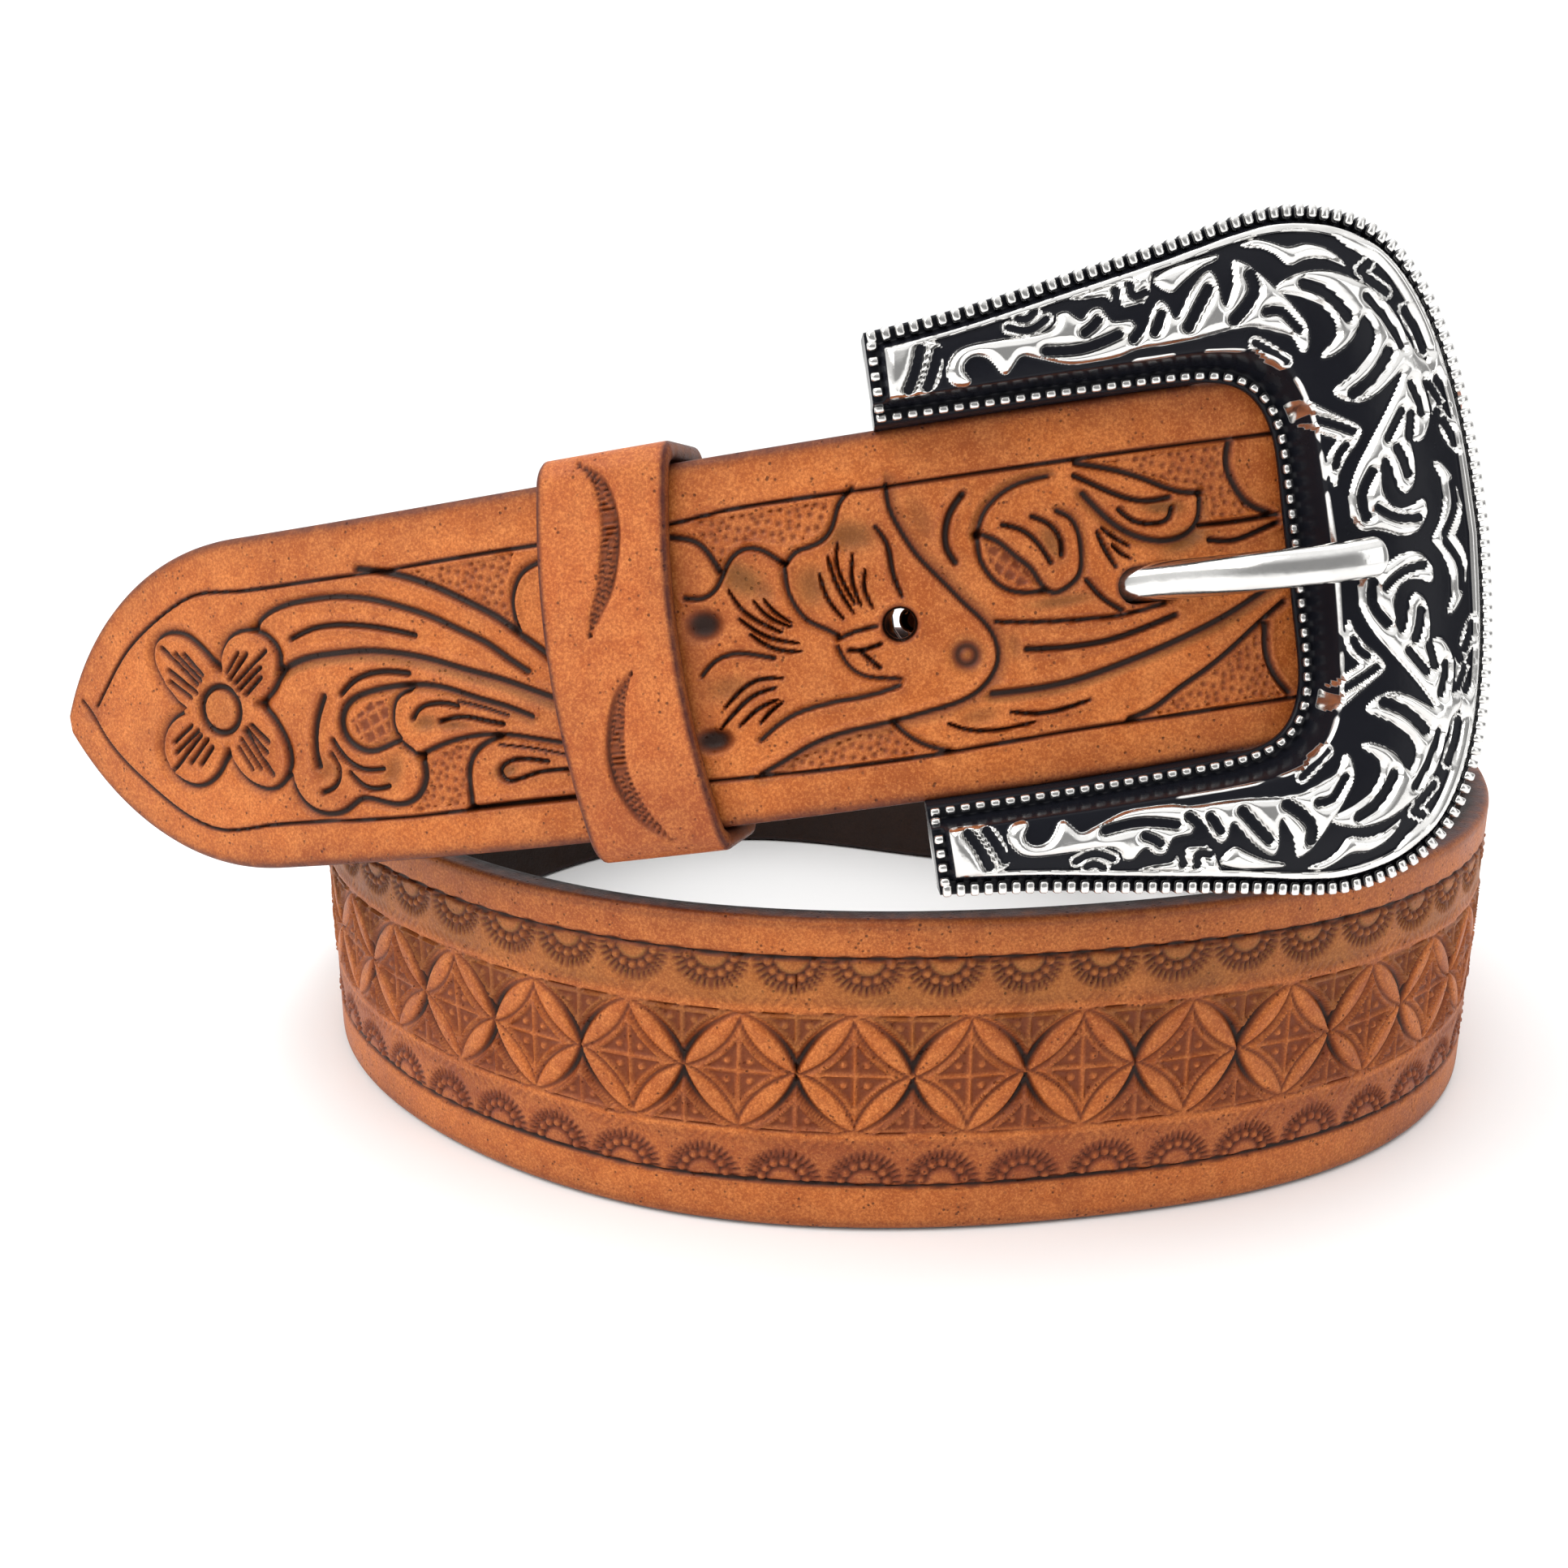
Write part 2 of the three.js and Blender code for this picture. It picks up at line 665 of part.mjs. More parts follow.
function prongSolid() {
  const loop = new THREE.TorusGeometry(loopRadius, prongLoopWire / 2, loopSides, loopSteps);
  return solidOf(setInto(loop, loopCentre, barFrame)).add(prongArm(0));
}

// Keeper: a leather loop round the tail, the understrap and the flap.
function keeperBody(grow, half, ease) {
  const low = -coverFace - 2 * layerPitch - surfaceGap - grow;
  const high = coverFace + surfaceGap + grow;
  const side = strapWidth / 2 + surfaceGap + grow;
  const corner = grow > 0 ? keeperCorner : surfaceGap;
  const sectionAt = (inset) => {
    const points = [];
    for (const [sideways, level, start] of [[1, high, 0], [-1, high, 90], [-1, low, 180], [1, low, 270]]) {
      for (let turn = 0; turn <= 90; turn += 30) {
        const angle = THREE.MathUtils.degToRad(start + turn);
        const x = sideways * (side - corner) + Math.cos(angle) * (corner - inset);
        const y = level - Math.sign(level) * corner + Math.sin(angle) * (corner - inset);
        points.push(new THREE.Vector2(x, y));
      }
    }
    return points;
  };
  const stations = [
    { place: -half, inset: ease },
    { place: -half + keeperEase, inset: 0 },
    { place: 0, inset: 0 },
    { place: half - keeperEase, inset: 0 },
    { place: half, inset: ease },
  ];
  const rings = stations.map(({ place, inset }) => {
    const frame = tail.frame(keeperAt + place);
    return sectionAt(inset).map((point) => placeOn(frame, point.x, point.y));
  });
  return solidOf(loft(rings, sectionAt(0)));
}

function keeperSolid() {
  const half = keeperWidth / 2;
  const outside = keeperBody(keeperThickness, half, keeperEase);
  return outside.subtract(keeperBody(0, half + keeperEase, 0));
}

// Screw through the understrap and the flap, its outer head let into the understrap under the tail.
const headSeat = screwHeadThickness + surfaceGap;

function screwSolid(place) {
  const frame = tail.frame(place);
  const top = -layerPitch + leatherThickness / 2 - surfaceGap / 2;
  const bottom = -2 * layerPitch - leatherThickness / 2 - surfaceGap;
  const profile = [
    [0, bottom - screwHeadThickness],
    [screwHead / 2 - screwHeadEdge, bottom - screwHeadThickness],
    [screwHead / 2, bottom - screwHeadEdge],
    [screwHead / 2, bottom],
    [screwPost / 2, bottom],
    [screwPost / 2, top - screwHeadThickness],
    [screwHead / 2, top - screwHeadThickness],
    [screwHead / 2, top],
    [0, top],
  ].map(([radius, outward]) => new THREE.Vector2(radius, outward));
  return solidOf(setInto(new THREE.LatheGeometry(profile, roundSides), frame.middle, frame));
}

function screwCut(place) {
  const frame = tail.frame(place);
  const face = -layerPitch + leatherThickness / 2;
  const above = face + surfaceGap / 2;
  const deep = -3 * layerPitch;
  const post = solidOf(rodThrough(frame, 0, screwPost / 2 + surfaceGap, deep, above));
  return post.add(solidOf(rodThrough(frame, 0, screwHead / 2 + surfaceGap, face - headSeat, above)));
}

function strapSolid() {
  let strap = strapBlank().subtract(prongSlot()).subtract(prongArm(surfaceGap));
  for (let i = 0; i < holeCount; i++) {
    const frame = tail.frame(firstHoleAt + i * holePitch);
    const outer = coverFace + surfaceGap;
    const rod = rodThrough(frame, holeRise, holeDiameter / 2, -layerPitch / 2, outer);
    strap = strap.subtract(solidOf(rod));
  }
  for (const place of screwPlaces) strap = strap.subtract(screwCut(place));
  return strap;
}

const leather = new THREE.MeshStandardMaterial({ color: 0xa8622c, roughness: 0.6, metalness: 0 });
const nickel = new THREE.MeshStandardMaterial({ color: 0xc9c7c2, roughness: 0.25, metalness: 1 });

const belt = new THREE.Group();

function addPiece(name, solid, material) {
  const mesh = new THREE.Mesh(geometryOf(solid), material);
  mesh.name = name;
  belt.add(mesh);
}

addPiece("strap", strapSolid(), leather);
addPiece("keeper", keeperSolid(), leather);
addPiece("buckle_frame", buckleFrame(), nickel);
addPiece("prong", prongSolid(), nickel);
screwPlaces.forEach((place, i) => addPiece(`fold_screw_${i + 1}`, screwSolid(place), nickel));

// The origin is the middle of the belt's footprint, on the floor.
const box = new THREE.Box3().setFromObject(belt);
const middle = box.getCenter(new THREE.Vector3());
belt.position.set(-middle.x, -middle.y, -box.min.z);

export default belt;
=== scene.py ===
import math

import bpy
import numpy as np
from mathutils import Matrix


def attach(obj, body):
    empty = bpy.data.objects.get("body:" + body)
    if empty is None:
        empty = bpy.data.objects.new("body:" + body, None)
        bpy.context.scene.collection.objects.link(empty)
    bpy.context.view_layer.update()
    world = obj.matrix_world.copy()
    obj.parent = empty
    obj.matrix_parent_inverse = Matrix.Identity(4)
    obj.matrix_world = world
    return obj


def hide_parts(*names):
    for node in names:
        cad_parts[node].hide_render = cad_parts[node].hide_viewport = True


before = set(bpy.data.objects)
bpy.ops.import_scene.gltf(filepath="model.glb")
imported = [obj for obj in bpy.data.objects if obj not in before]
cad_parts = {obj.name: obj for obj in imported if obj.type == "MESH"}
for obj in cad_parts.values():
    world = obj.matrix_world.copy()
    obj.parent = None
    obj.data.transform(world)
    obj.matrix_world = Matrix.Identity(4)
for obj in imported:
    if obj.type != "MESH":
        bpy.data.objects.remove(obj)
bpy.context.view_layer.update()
print("frame loaded")

# The belt's measures, in millimetres like the CAD. Places along the strap start at the tip of its tail.
belt = dict(
    strapWidth=38.1, leather=3.3, coilReach=80.0, surfaceGap=0.3, tipLength=30.0, tipNose=1.6,
    barAt=111.0, barDiameter=3.8, underlapLeavesAt=50.0, flapEndsAt=60.0, flapCloses=11.0,
    firstHoleAt=80.7, holePitch=25.4, holeRise=-0.6, holeInUse=2,
    frameBend=170.0, toFrame=(9.82537841796875, 11.42885971069336, 0.001063668169081211),
)
# Middle line of the coiled strap: turn in degrees, reach as a share of coilReach, rise as a share of the
# width, lean in degrees.
route = np.array([
    (-155.6, 1.395, 0.836, 7), (-146.9, 1.255, 0.938, 8), (-136.6, 1.141, 1.038, 9), (-111.4, 0.997, 1.24, 10),
    (-83, 0.976, 1.411, 11), (-68.9, 1.001, 1.474, 11), (-49.4, 1.045, 1.482, 8), (-38.3, 0.998, 1.35, 5),
    (-22.9, 0.9, 1.1, 3), (-4.1, 0.789, 0.786, 2), (15.2, 0.695, 0.471, 1), (37.8, 0.616, 0.209, 0),
    (62.2, 0.583, 0.038, 0), (85.3, 0.614, 0, 0), (109.7, 0.739, 0, 0), (131.7, 0.825, 0, 0),
    (149.2, 0.86, 0, 0), (168.8, 0.918, 0, 0), (186.6, 0.986, 0, 0), (202.2, 1.01, 0, 0),
    (226.5, 1.001, 0, 0), (248.2, 0.99, 0, 0), (268, 0.97, 0, 0), (286.2, 0.973, 0, 0),
    (310.1, 1.031, 0, 0), (329.5, 1.052, 0, 0), (351.7, 1.024, 0, 0), (374.1, 0.998, 0, 0),
    (395.3, 0.948, 0, 0), (420.4, 0.847, 0, 0), (452.7, 0.818, 0, 0), (482, 0.934, 0, 0),
    (505.2, 1.048, 0.077, 1), (524.3, 1.083, 0.301, 2), (540.1, 1.111, 0.51, 4), (552.5, 1.144, 0.681, 5),
    (564.5, 1.154, 0.839, 7), (575.4, 1.131, 0.957, 8),
], float)
foldShares = np.array([0, 0.06, 0.12, 0.2, 0.3, 0.45, 0.6, 0.8, 1])
layerPitch = belt["leather"] + belt["surfaceGap"]
foldRadius = belt["barDiameter"] / 2 + belt["surfaceGap"] + belt["leather"] / 2
face = belt["leather"] / 2
toFrame = np.array(belt["toFrame"])


class Spline:
    # natural cubic spline through rows of numbers at rising knots
    def __init__(self, knots, rows):
        count = len(rows)
        bends = np.zeros_like(rows)
        weights = np.zeros(count)
        for i in range(1, count - 1):
            before, after = knots[i] - knots[i - 1], knots[i + 1] - knots[i]
            pivot = 2 * (before + after) - before * weights[i - 1]
            weights[i] = after / pivot
            kink = (rows[i + 1] - rows[i]) / after - (rows[i] - rows[i - 1]) / before
            bends[i] = (6 * kink - before * bends[i - 1]) / pivot
        for i in range(count - 2, 0, -1):
            bends[i] -= weights[i] * bends[i + 1]
        self.knots, self.rows, self.bends = knots, rows, bends

    def at(self, knot):
        knot = np.atleast_1d(np.asarray(knot, float))
        i = np.clip(np.searchsorted(self.knots, knot), 1, len(self.knots) - 1)
        span = self.knots[i] - self.knots[i - 1]
        b = ((knot - self.knots[i - 1]) / span)[:, None]
        a = 1 - b
        bow = (a ** 3 - a) * self.bends[i - 1] + (b ** 3 - b) * self.bends[i]
        return a * self.rows[i - 1] + b * self.rows[i] + bow * (span ** 2)[:, None] / 6


def chordKnots(points):
    return np.concatenate(([0], np.cumsum(np.linalg.norm(np.diff(points, axis=0), axis=1))))


class StrapPath:
    def __init__(self, points, ups):
        points, ups = np.array(points), np.array(ups)
        knots = chordKnots(points)
        self.spline = Spline(knots, np.hstack((points, ups)))
        count = math.ceil(knots[-1])
        self.markKnots = knots[-1] * np.arange(count + 1) / count
        self.markLengths = chordKnots(self.spline.at(self.markKnots)[:, :3])
        self.length = self.markLengths[-1]

    # middle point, way along, width direction and outward direction at true lengths
    def frames(self, lengths):
        knot = np.interp(np.atleast_1d(np.asarray(lengths, float)), self.markLengths, self.markKnots)
        values = self.spline.at(knot)
        middle = values[:, :3].copy()
        middle[:, 2] = np.maximum(middle[:, 2], belt["strapWidth"] / 2)
        along = (self.spline.at(knot + 0.05) - self.spline.at(knot - 0.05))[:, :3]
        along /= np.linalg.norm(along, axis=1)[:, None]
        up = values[:, 3:]
        up = up - along * np.sum(up * along, axis=1)[:, None]
        up /= np.linalg.norm(up, axis=1)[:, None]
        return middle, along, up, np.cross(along, up)


def placeOn(frames, height, outward):
    middle, along, up, out = frames
    return middle + up * np.reshape(height, (-1, 1)) + out * np.reshape(outward, (-1, 1))


def smooth(x, low, high):
    t = np.clip((x - low) / (high - low), 0, 1)
    return t * t * (3 - 2 * t)


def loosePoints():
    turn, lean = np.radians(route[:, 0]), np.radians(route[:, 3])
    away = np.stack((np.cos(turn), np.sin(turn), 0 * turn), 1)
    points = away * (route[:, 1] * belt["coilReach"])[:, None]
    points[:, 2] = (route[:, 2] + 0.5) * belt["strapWidth"]
    ups = -away * np.sin(lean)[:, None]
    ups[:, 2] = np.cos(lean)
    return points, ups


loose, looseUps = loosePoints()
tail = StrapPath(loose, looseUps)
barFrame = tail.frames(belt["barAt"])
barCentre = placeOn(barFrame, 0, -layerPitch - foldRadius)[0]


# The whole strap: the loose turns, then the understrap, the fold round the bar and the flap behind the tail.
def foldedStrap():
    points, ups = list(loose), list(looseUps)
    for share in foldShares[::-1]:
        here = tail.frames(belt["barAt"] + (belt["underlapLeavesAt"] - belt["barAt"]) * share)
        points.append(placeOn(here, 0, -layerPitch)[0])
        ups.append(here[2][0])
    for turn in range(30, 180, 30):
        angle = math.radians(turn)
        points.append(barCentre + foldRadius * (barFrame[1][0] * math.sin(angle) + barFrame[3][0] * math.cos(angle)))
        ups.append(barFrame[2][0])
    for share in foldShares:
        place = belt["barAt"] + (belt["flapEndsAt"] - belt["barAt"]) * share
        opened = smooth(place, belt["barAt"] - belt["flapCloses"], belt["barAt"])
        here = tail.frames(place)
        points.append(placeOn(here, 0, -2 * layerPitch - (2 * foldRadius - layerPitch) * opened)[0])
        ups.append(here[2][0])
    return StrapPath(points, ups)


strapPath = foldedStrap()
holeInUseAt = belt["firstHoleAt"] + belt["holePitch"] * belt["holeInUse"]
bowFrame = tail.frames(holeInUseAt)
bowOrigin = placeOn(bowFrame, 0, face)[0]


# Point of the buckle's bow at a place, a height and a distance outward.
def onBow(place, height, outward):
    place, height, outward = (np.ravel(v) for v in np.broadcast_arrays(*np.atleast_1d(place, height, outward)))
    angle = (place - holeInUseAt) / belt["frameBend"]
    radius = belt["frameBend"] + outward
    return (bowOrigin + bowFrame[1] * (radius * np.sin(angle))[:, None]
            + bowFrame[3] * (radius * np.cos(angle) - belt["frameBend"])[:, None] + bowFrame[2] * height[:, None])


def halfWidth(place):
    rise = belt["strapWidth"] / 2 - belt["tipNose"]
    radius = (belt["tipLength"] ** 2 + rise ** 2) / (2 * rise)
    back = np.clip(belt["tipLength"] - place, 0, belt["tipLength"])
    return belt["strapWidth"] / 2 - (radius - np.sqrt(radius ** 2 - back ** 2))


# A grid bent into a closed body: each of its rows becomes one ring of points.
def sweptPiece(name, rings, cyclic=False, hardAngle=75, marks=None):
    count, around = rings.shape[:2]
    rows = count if cyclic else count - 1
    bpy.ops.object.select_all(action="DESELECT")
    bpy.ops.mesh.primitive_grid_add(x_subdivisions=around, y_subdivisions=rows, size=2)
    piece = bpy.context.object
    piece.name = piece.data.name = name
    flat = np.zeros(len(piece.data.vertices) * 3, np.float32)
    piece.data.vertices.foreach_get("co", flat)
    flat = flat.reshape(-1, 3)
    column = np.rint((flat[:, 0] + 1) / 2 * around).astype(int) % around
    row = np.rint((flat[:, 1] + 1) / 2 * rows).astype(int) % count
    points = (rings[row, column] + toFrame) / 1000
    piece.data.vertices.foreach_set("co", points.astype(np.float32).ravel())
    for mark, values in (marks or {}).items():
        layer = piece.data.attributes.new(mark, "FLOAT", "POINT")
        layer.data.foreach_set("value", values[row, column].astype(np.float32).ravel())
    bpy.ops.object.mode_set(mode="EDIT")
    bpy.ops.mesh.select_all(action="SELECT")
    bpy.ops.mesh.remove_doubles(threshold=1e-7)
    if not cyclic:
        bpy.ops.mesh.select_all(action="SELECT")
        bpy.ops.mesh.fill_holes(sides=0)
    bpy.ops.mesh.select_all(action="SELECT")
    bpy.ops.mesh.normals_make_consistent(inside=False)
    bpy.ops.object.mode_set(mode="OBJECT")
    bpy.ops.object.shade_smooth_by_angle(angle=math.radians(hardAngle))
    return piece


def smoothCurve(points, spacing=0.15):
    points = np.array(points, float)
    knots = chordKnots(points)
    curve = Spline(knots, points).at(np.linspace(0, knots[-1], max(8, int(knots[-1] / spacing))))
    run = np.gradient(curve, axis=0)
    return curve, run / np.linalg.norm(run, axis=1)[:, None]


def inside(polygon, x, y):
    polygon = np.array(polygon, float)
    hit = np.zeros(x.shape, bool)
    for (x0, y0), (x1, y1) in zip(polygon, np.roll(polygon, -1, axis=0)):
        crosses = (y0 > y) != (y1 > y)
        hit ^= crosses & (x < (x1 - x0) * (y - y0) / (y1 - y0 if y1 != y0 else 1) + x0)
    return hit


# Uneven hand pressure: a slow wave over the surface, between -1 and 1.
def waver(x, y, size, seed=0):
    a = np.sin(x / size * 2.1 + seed) * np.cos(y / size * 1.7 + 1.3 * seed)
    b = np.sin((x * 0.8 + y * 1.3) / size * 1.9 + 2.1 * seed) * np.sin((y - 0.6 * x) / size * 1.1 + seed)
    return 0.55 * a + 0.45 * b


# Marks of the tools on a surface: x along the strap and y up it, in mm at every point of a grid.
class Tooling:
    def __init__(self, x, y):
        self.shape = x.shape
        self.x, self.y = x.ravel(), y.ravel()
        self.level, self.antique = np.zeros(x.size), np.zeros(x.size)
        self.olive, self.plum = np.zeros(x.size), np.zeros(x.size)

    def near(self, points, reach):
        low, high = np.min(points, axis=0) - reach, np.max(points, axis=0) + reach
        return np.flatnonzero((self.x > low[0]) & (self.x < high[0]) & (self.y > low[1]) & (self.y < high[1]))

    # distance to a curve, side of it (+1 to its left) and share of the way along it
    def measure(self, curve, run, chosen):
        distance, side, share = (np.empty(len(chosen)) for i in range(3))
        for start in range(0, len(chosen), 20000):
            part = chosen[start:start + 20000]
            dx = self.x[part][:, None] - curve[:, 0]
            dy = self.y[part][:, None] - curve[:, 1]
            square = dx * dx + dy * dy
            best = np.argmin(square, axis=1)
            rows = np.arange(len(part))
            distance[start:start + len(part)] = np.sqrt(square[rows, best])
            cross = run[best, 0] * dy[rows, best] - run[best, 1] * dx[rows, best]
            side[start:start + len(part)] = np.sign(cross)
            share[start:start + len(part)] = best / (len(curve) - 1)
        return distance, side, share

    # Swivel-knife cut: bevel is how far the pressed side reaches, to the left if positive.
    def cut(self, points, width=0.75, depth=0.55, bevel=0.0, bevelDepth=0.85, lip=0.16, taper=0.0, tint=0.0):
        curve, run = smoothCurve(points)
        chosen = self.near(curve, max(2.2 * width, abs(bevel)) + 0.4)
        if not len(chosen):
            return
        distance, side, share = self.measure(curve, run, chosen)
        half = width / 2 * (1 - taper * (1 - np.sin(np.pi * np.clip(share, 0.02, 0.98)) ** 0.5))
        groove = np.exp(-(distance / (0.85 * half)) ** 4 * 0.9)
        self.level[chosen] -= depth * groove * (0.4 + 0.6 * half / (width / 2))
        self.antique[chosen] = np.maximum(self.antique[chosen], groove ** 0.7)
        # painted shade: a soft dark halo round each cut, partly antique dye gathered beside it
        soft = 0.24 * np.exp(-(distance / (2.4 * half + 0.1)) ** 2)
        self.antique[chosen] = np.maximum(self.antique[chosen], soft)
        raised = lip * np.exp(-((distance - 1.75 * half) / (0.8 * half)) ** 2)
        if bevel:
            pressed = (side == np.sign(bevel)) * np.clip(1 - distance / abs(bevel), 0, 1)
            self.level[chosen] -= bevelDepth * pressed ** 1.3 * (1 - groove)
            # the pressed bevel is painted darker, partly antique dye and partly painted shade of its slope
            self.antique[chosen] = np.maximum(self.antique[chosen], 0.5 * pressed ** 1.3)
            self.olive[chosen] = np.maximum(self.olive[chosen], tint * smooth(pressed, 0, 0.5))
            raised = raised * (side != np.sign(bevel))
        self.level[chosen] += raised

    # Hollow pressed with a pear shader.
    def dimple(self, centre, radii, turn=0.0, depth=0.35, olive=0.8, antique=0.25):
        chosen = self.near([centre], 3 * max(radii))
        dx, dy = self.x[chosen] - centre[0], self.y[chosen] - centre[1]
        angle = math.radians(turn)
        u = (dx * math.cos(angle) + dy * math.sin(angle)) / radii[0]
        v = (dy * math.cos(angle) - dx * math.sin(angle)) / radii[1]
        hollow = np.exp(-(u * u + v * v) ** 1.3)
        self.level[chosen] -= depth * hollow
        self.olive[chosen] = np.maximum(self.olive[chosen], olive * hollow)
        self.antique[chosen] = np.maximum(self.antique[chosen], antique * hollow)

    # Ground beaten down with a fine round tool.
    def pebbles(self, polygon, pitch=1.0, depth=0.3, dots=0.3):
        chosen = self.near(polygon, 0.5)
        chosen = chosen[inside(polygon, self.x[chosen], self.y[chosen])]
        x, y = self.x[chosen] / pitch, self.y[chosen] / pitch
        nearest = np.full(len(chosen), 9.0)
        for i in (-1, 0, 1):
            for j in (-1, 0, 1):
                cx, cy = np.floor(x) + i, np.floor(y) + j
                jx = cx + 0.5 + 0.3 * np.sin(cx * 12.9 + cy * 78.2)
                jy = cy + 0.5 + 0.3 * np.sin(cx * 39.3 + cy * 11.1)
                nearest = np.minimum(nearest, np.hypot(x - jx, y - jy))
        seed = np.exp(-(nearest / 0.3) ** 2)
        rim = np.exp(-((nearest - 0.42) / 0.16) ** 2)
        self.level[chosen] -= depth + dots * seed - 0.1 * rim
        self.antique[chosen] = np.maximum(self.antique[chosen], 0.13 + 0.34 * seed)

    # Netting of a bud: raised crossed threads over a dark ground.
    def netting(self, polygon, pitch=1.35, turn=45, depth=0.25):
        chosen = self.near(polygon, 0.5)
        chosen = chosen[inside(polygon, self.x[chosen], self.y[chosen])]
        angle = math.radians(turn)
        u = (self.x[chosen] * math.cos(angle) + self.y[chosen] * math.sin(angle)) / pitch
        v = (self.y[chosen] * math.cos(angle) - self.x[chosen] * math.sin(angle)) / pitch
        thread = np.maximum(np.abs(np.cos(np.pi * u)) ** 8, np.abs(np.cos(np.pi * v)) ** 8)
        self.level[chosen] -= depth * (1 - thread)
        self.antique[chosen] = np.maximum(self.antique[chosen], 0.5 * (1 - thread))
        self.plum[chosen] = np.maximum(self.plum[chosen], 0.3)

    # Punched hole: points near its rim are drawn onto the circle first, so its edge is clean.
    def punch(self, start, end, radius, floor=-2.6):
        start, end = np.array(start, float), np.array(end, float)
        way = end - start
        t = np.clip(((self.x - start[0]) * way[0] + (self.y - start[1]) * way[1]) / max(way @ way, 1e-9), 0, 1)
        cx, cy = start[0] + t * way[0], start[1] + t * way[1]
        dx, dy = self.x - cx, self.y - cy
        r = np.maximum(np.hypot(dx, dy), 1e-6)
        rim, foot = np.abs(r - radius) < 0.15, (r >= radius - 0.45) & (r <= radius - 0.15)
        wanted = np.where(rim, radius, np.where(foot, radius - 0.25, r))
        self.x = np.where(rim | foot, cx + dx / r * wanted, self.x)
        self.y = np.where(rim | foot, cy + dy / r * wanted, self.y)
        deep = r < radius - 0.15
        self.level = np.where(deep, floor, self.level)
        # painted shade: the floor of the hole is painted near black and its rim darker, for the shade inside it
        self.antique = np.where(deep, 1.6, np.maximum(self.antique, 0.5 * np.exp(-((r - radius) / 0.3) ** 2)))
        self.level += np.where(deep, 0, 0.16 * np.exp(-((r - radius - 0.45) / 0.3) ** 2))

    def marks(self):
        return {
            "antique": self.antique.reshape(self.shape), "olive": self.olive.reshape(self.shape),
            "plum": self.plum.reshape(self.shape),
        }


# Cuts of the leaf and flower work on the tail, each a run of points (place, height).
borderCuts = [
    [(5.2, 1.9), (7.8, 4.5), (11.4, 7.8), (14.9, 10), (17.8, 11.4), (21.4, 12.8), (23.4, 13.3), (28.4, 13.2),
     (40.2, 13), (50, 12.9), (57, 13), (69, 13), (85.2, 13), (89.9, 13.4), (100.4, 13.4), (115.3, 13.3),
     (128.5, 13.2), (141.5, 13.1), (150, 13), (170, 13)],
    [(2.8, 2.7), (4, 1.1), (5.3, -1.35), (7.5, -4.3), (10.8, -7.4), (14.3, -10.2), (16.6, -11.8), (19.6, -13.3),
     (21.9, -14), (28.4, -14), (43, -14.1), (52, -14.2), (60, -13.95), (69, -13.95), (85.2, -14), (95.4, -14.3),
     (109, -14.3), (119.7, -14), (128.5, -14), (145.6, -14.3), (170, -14.2)],
]
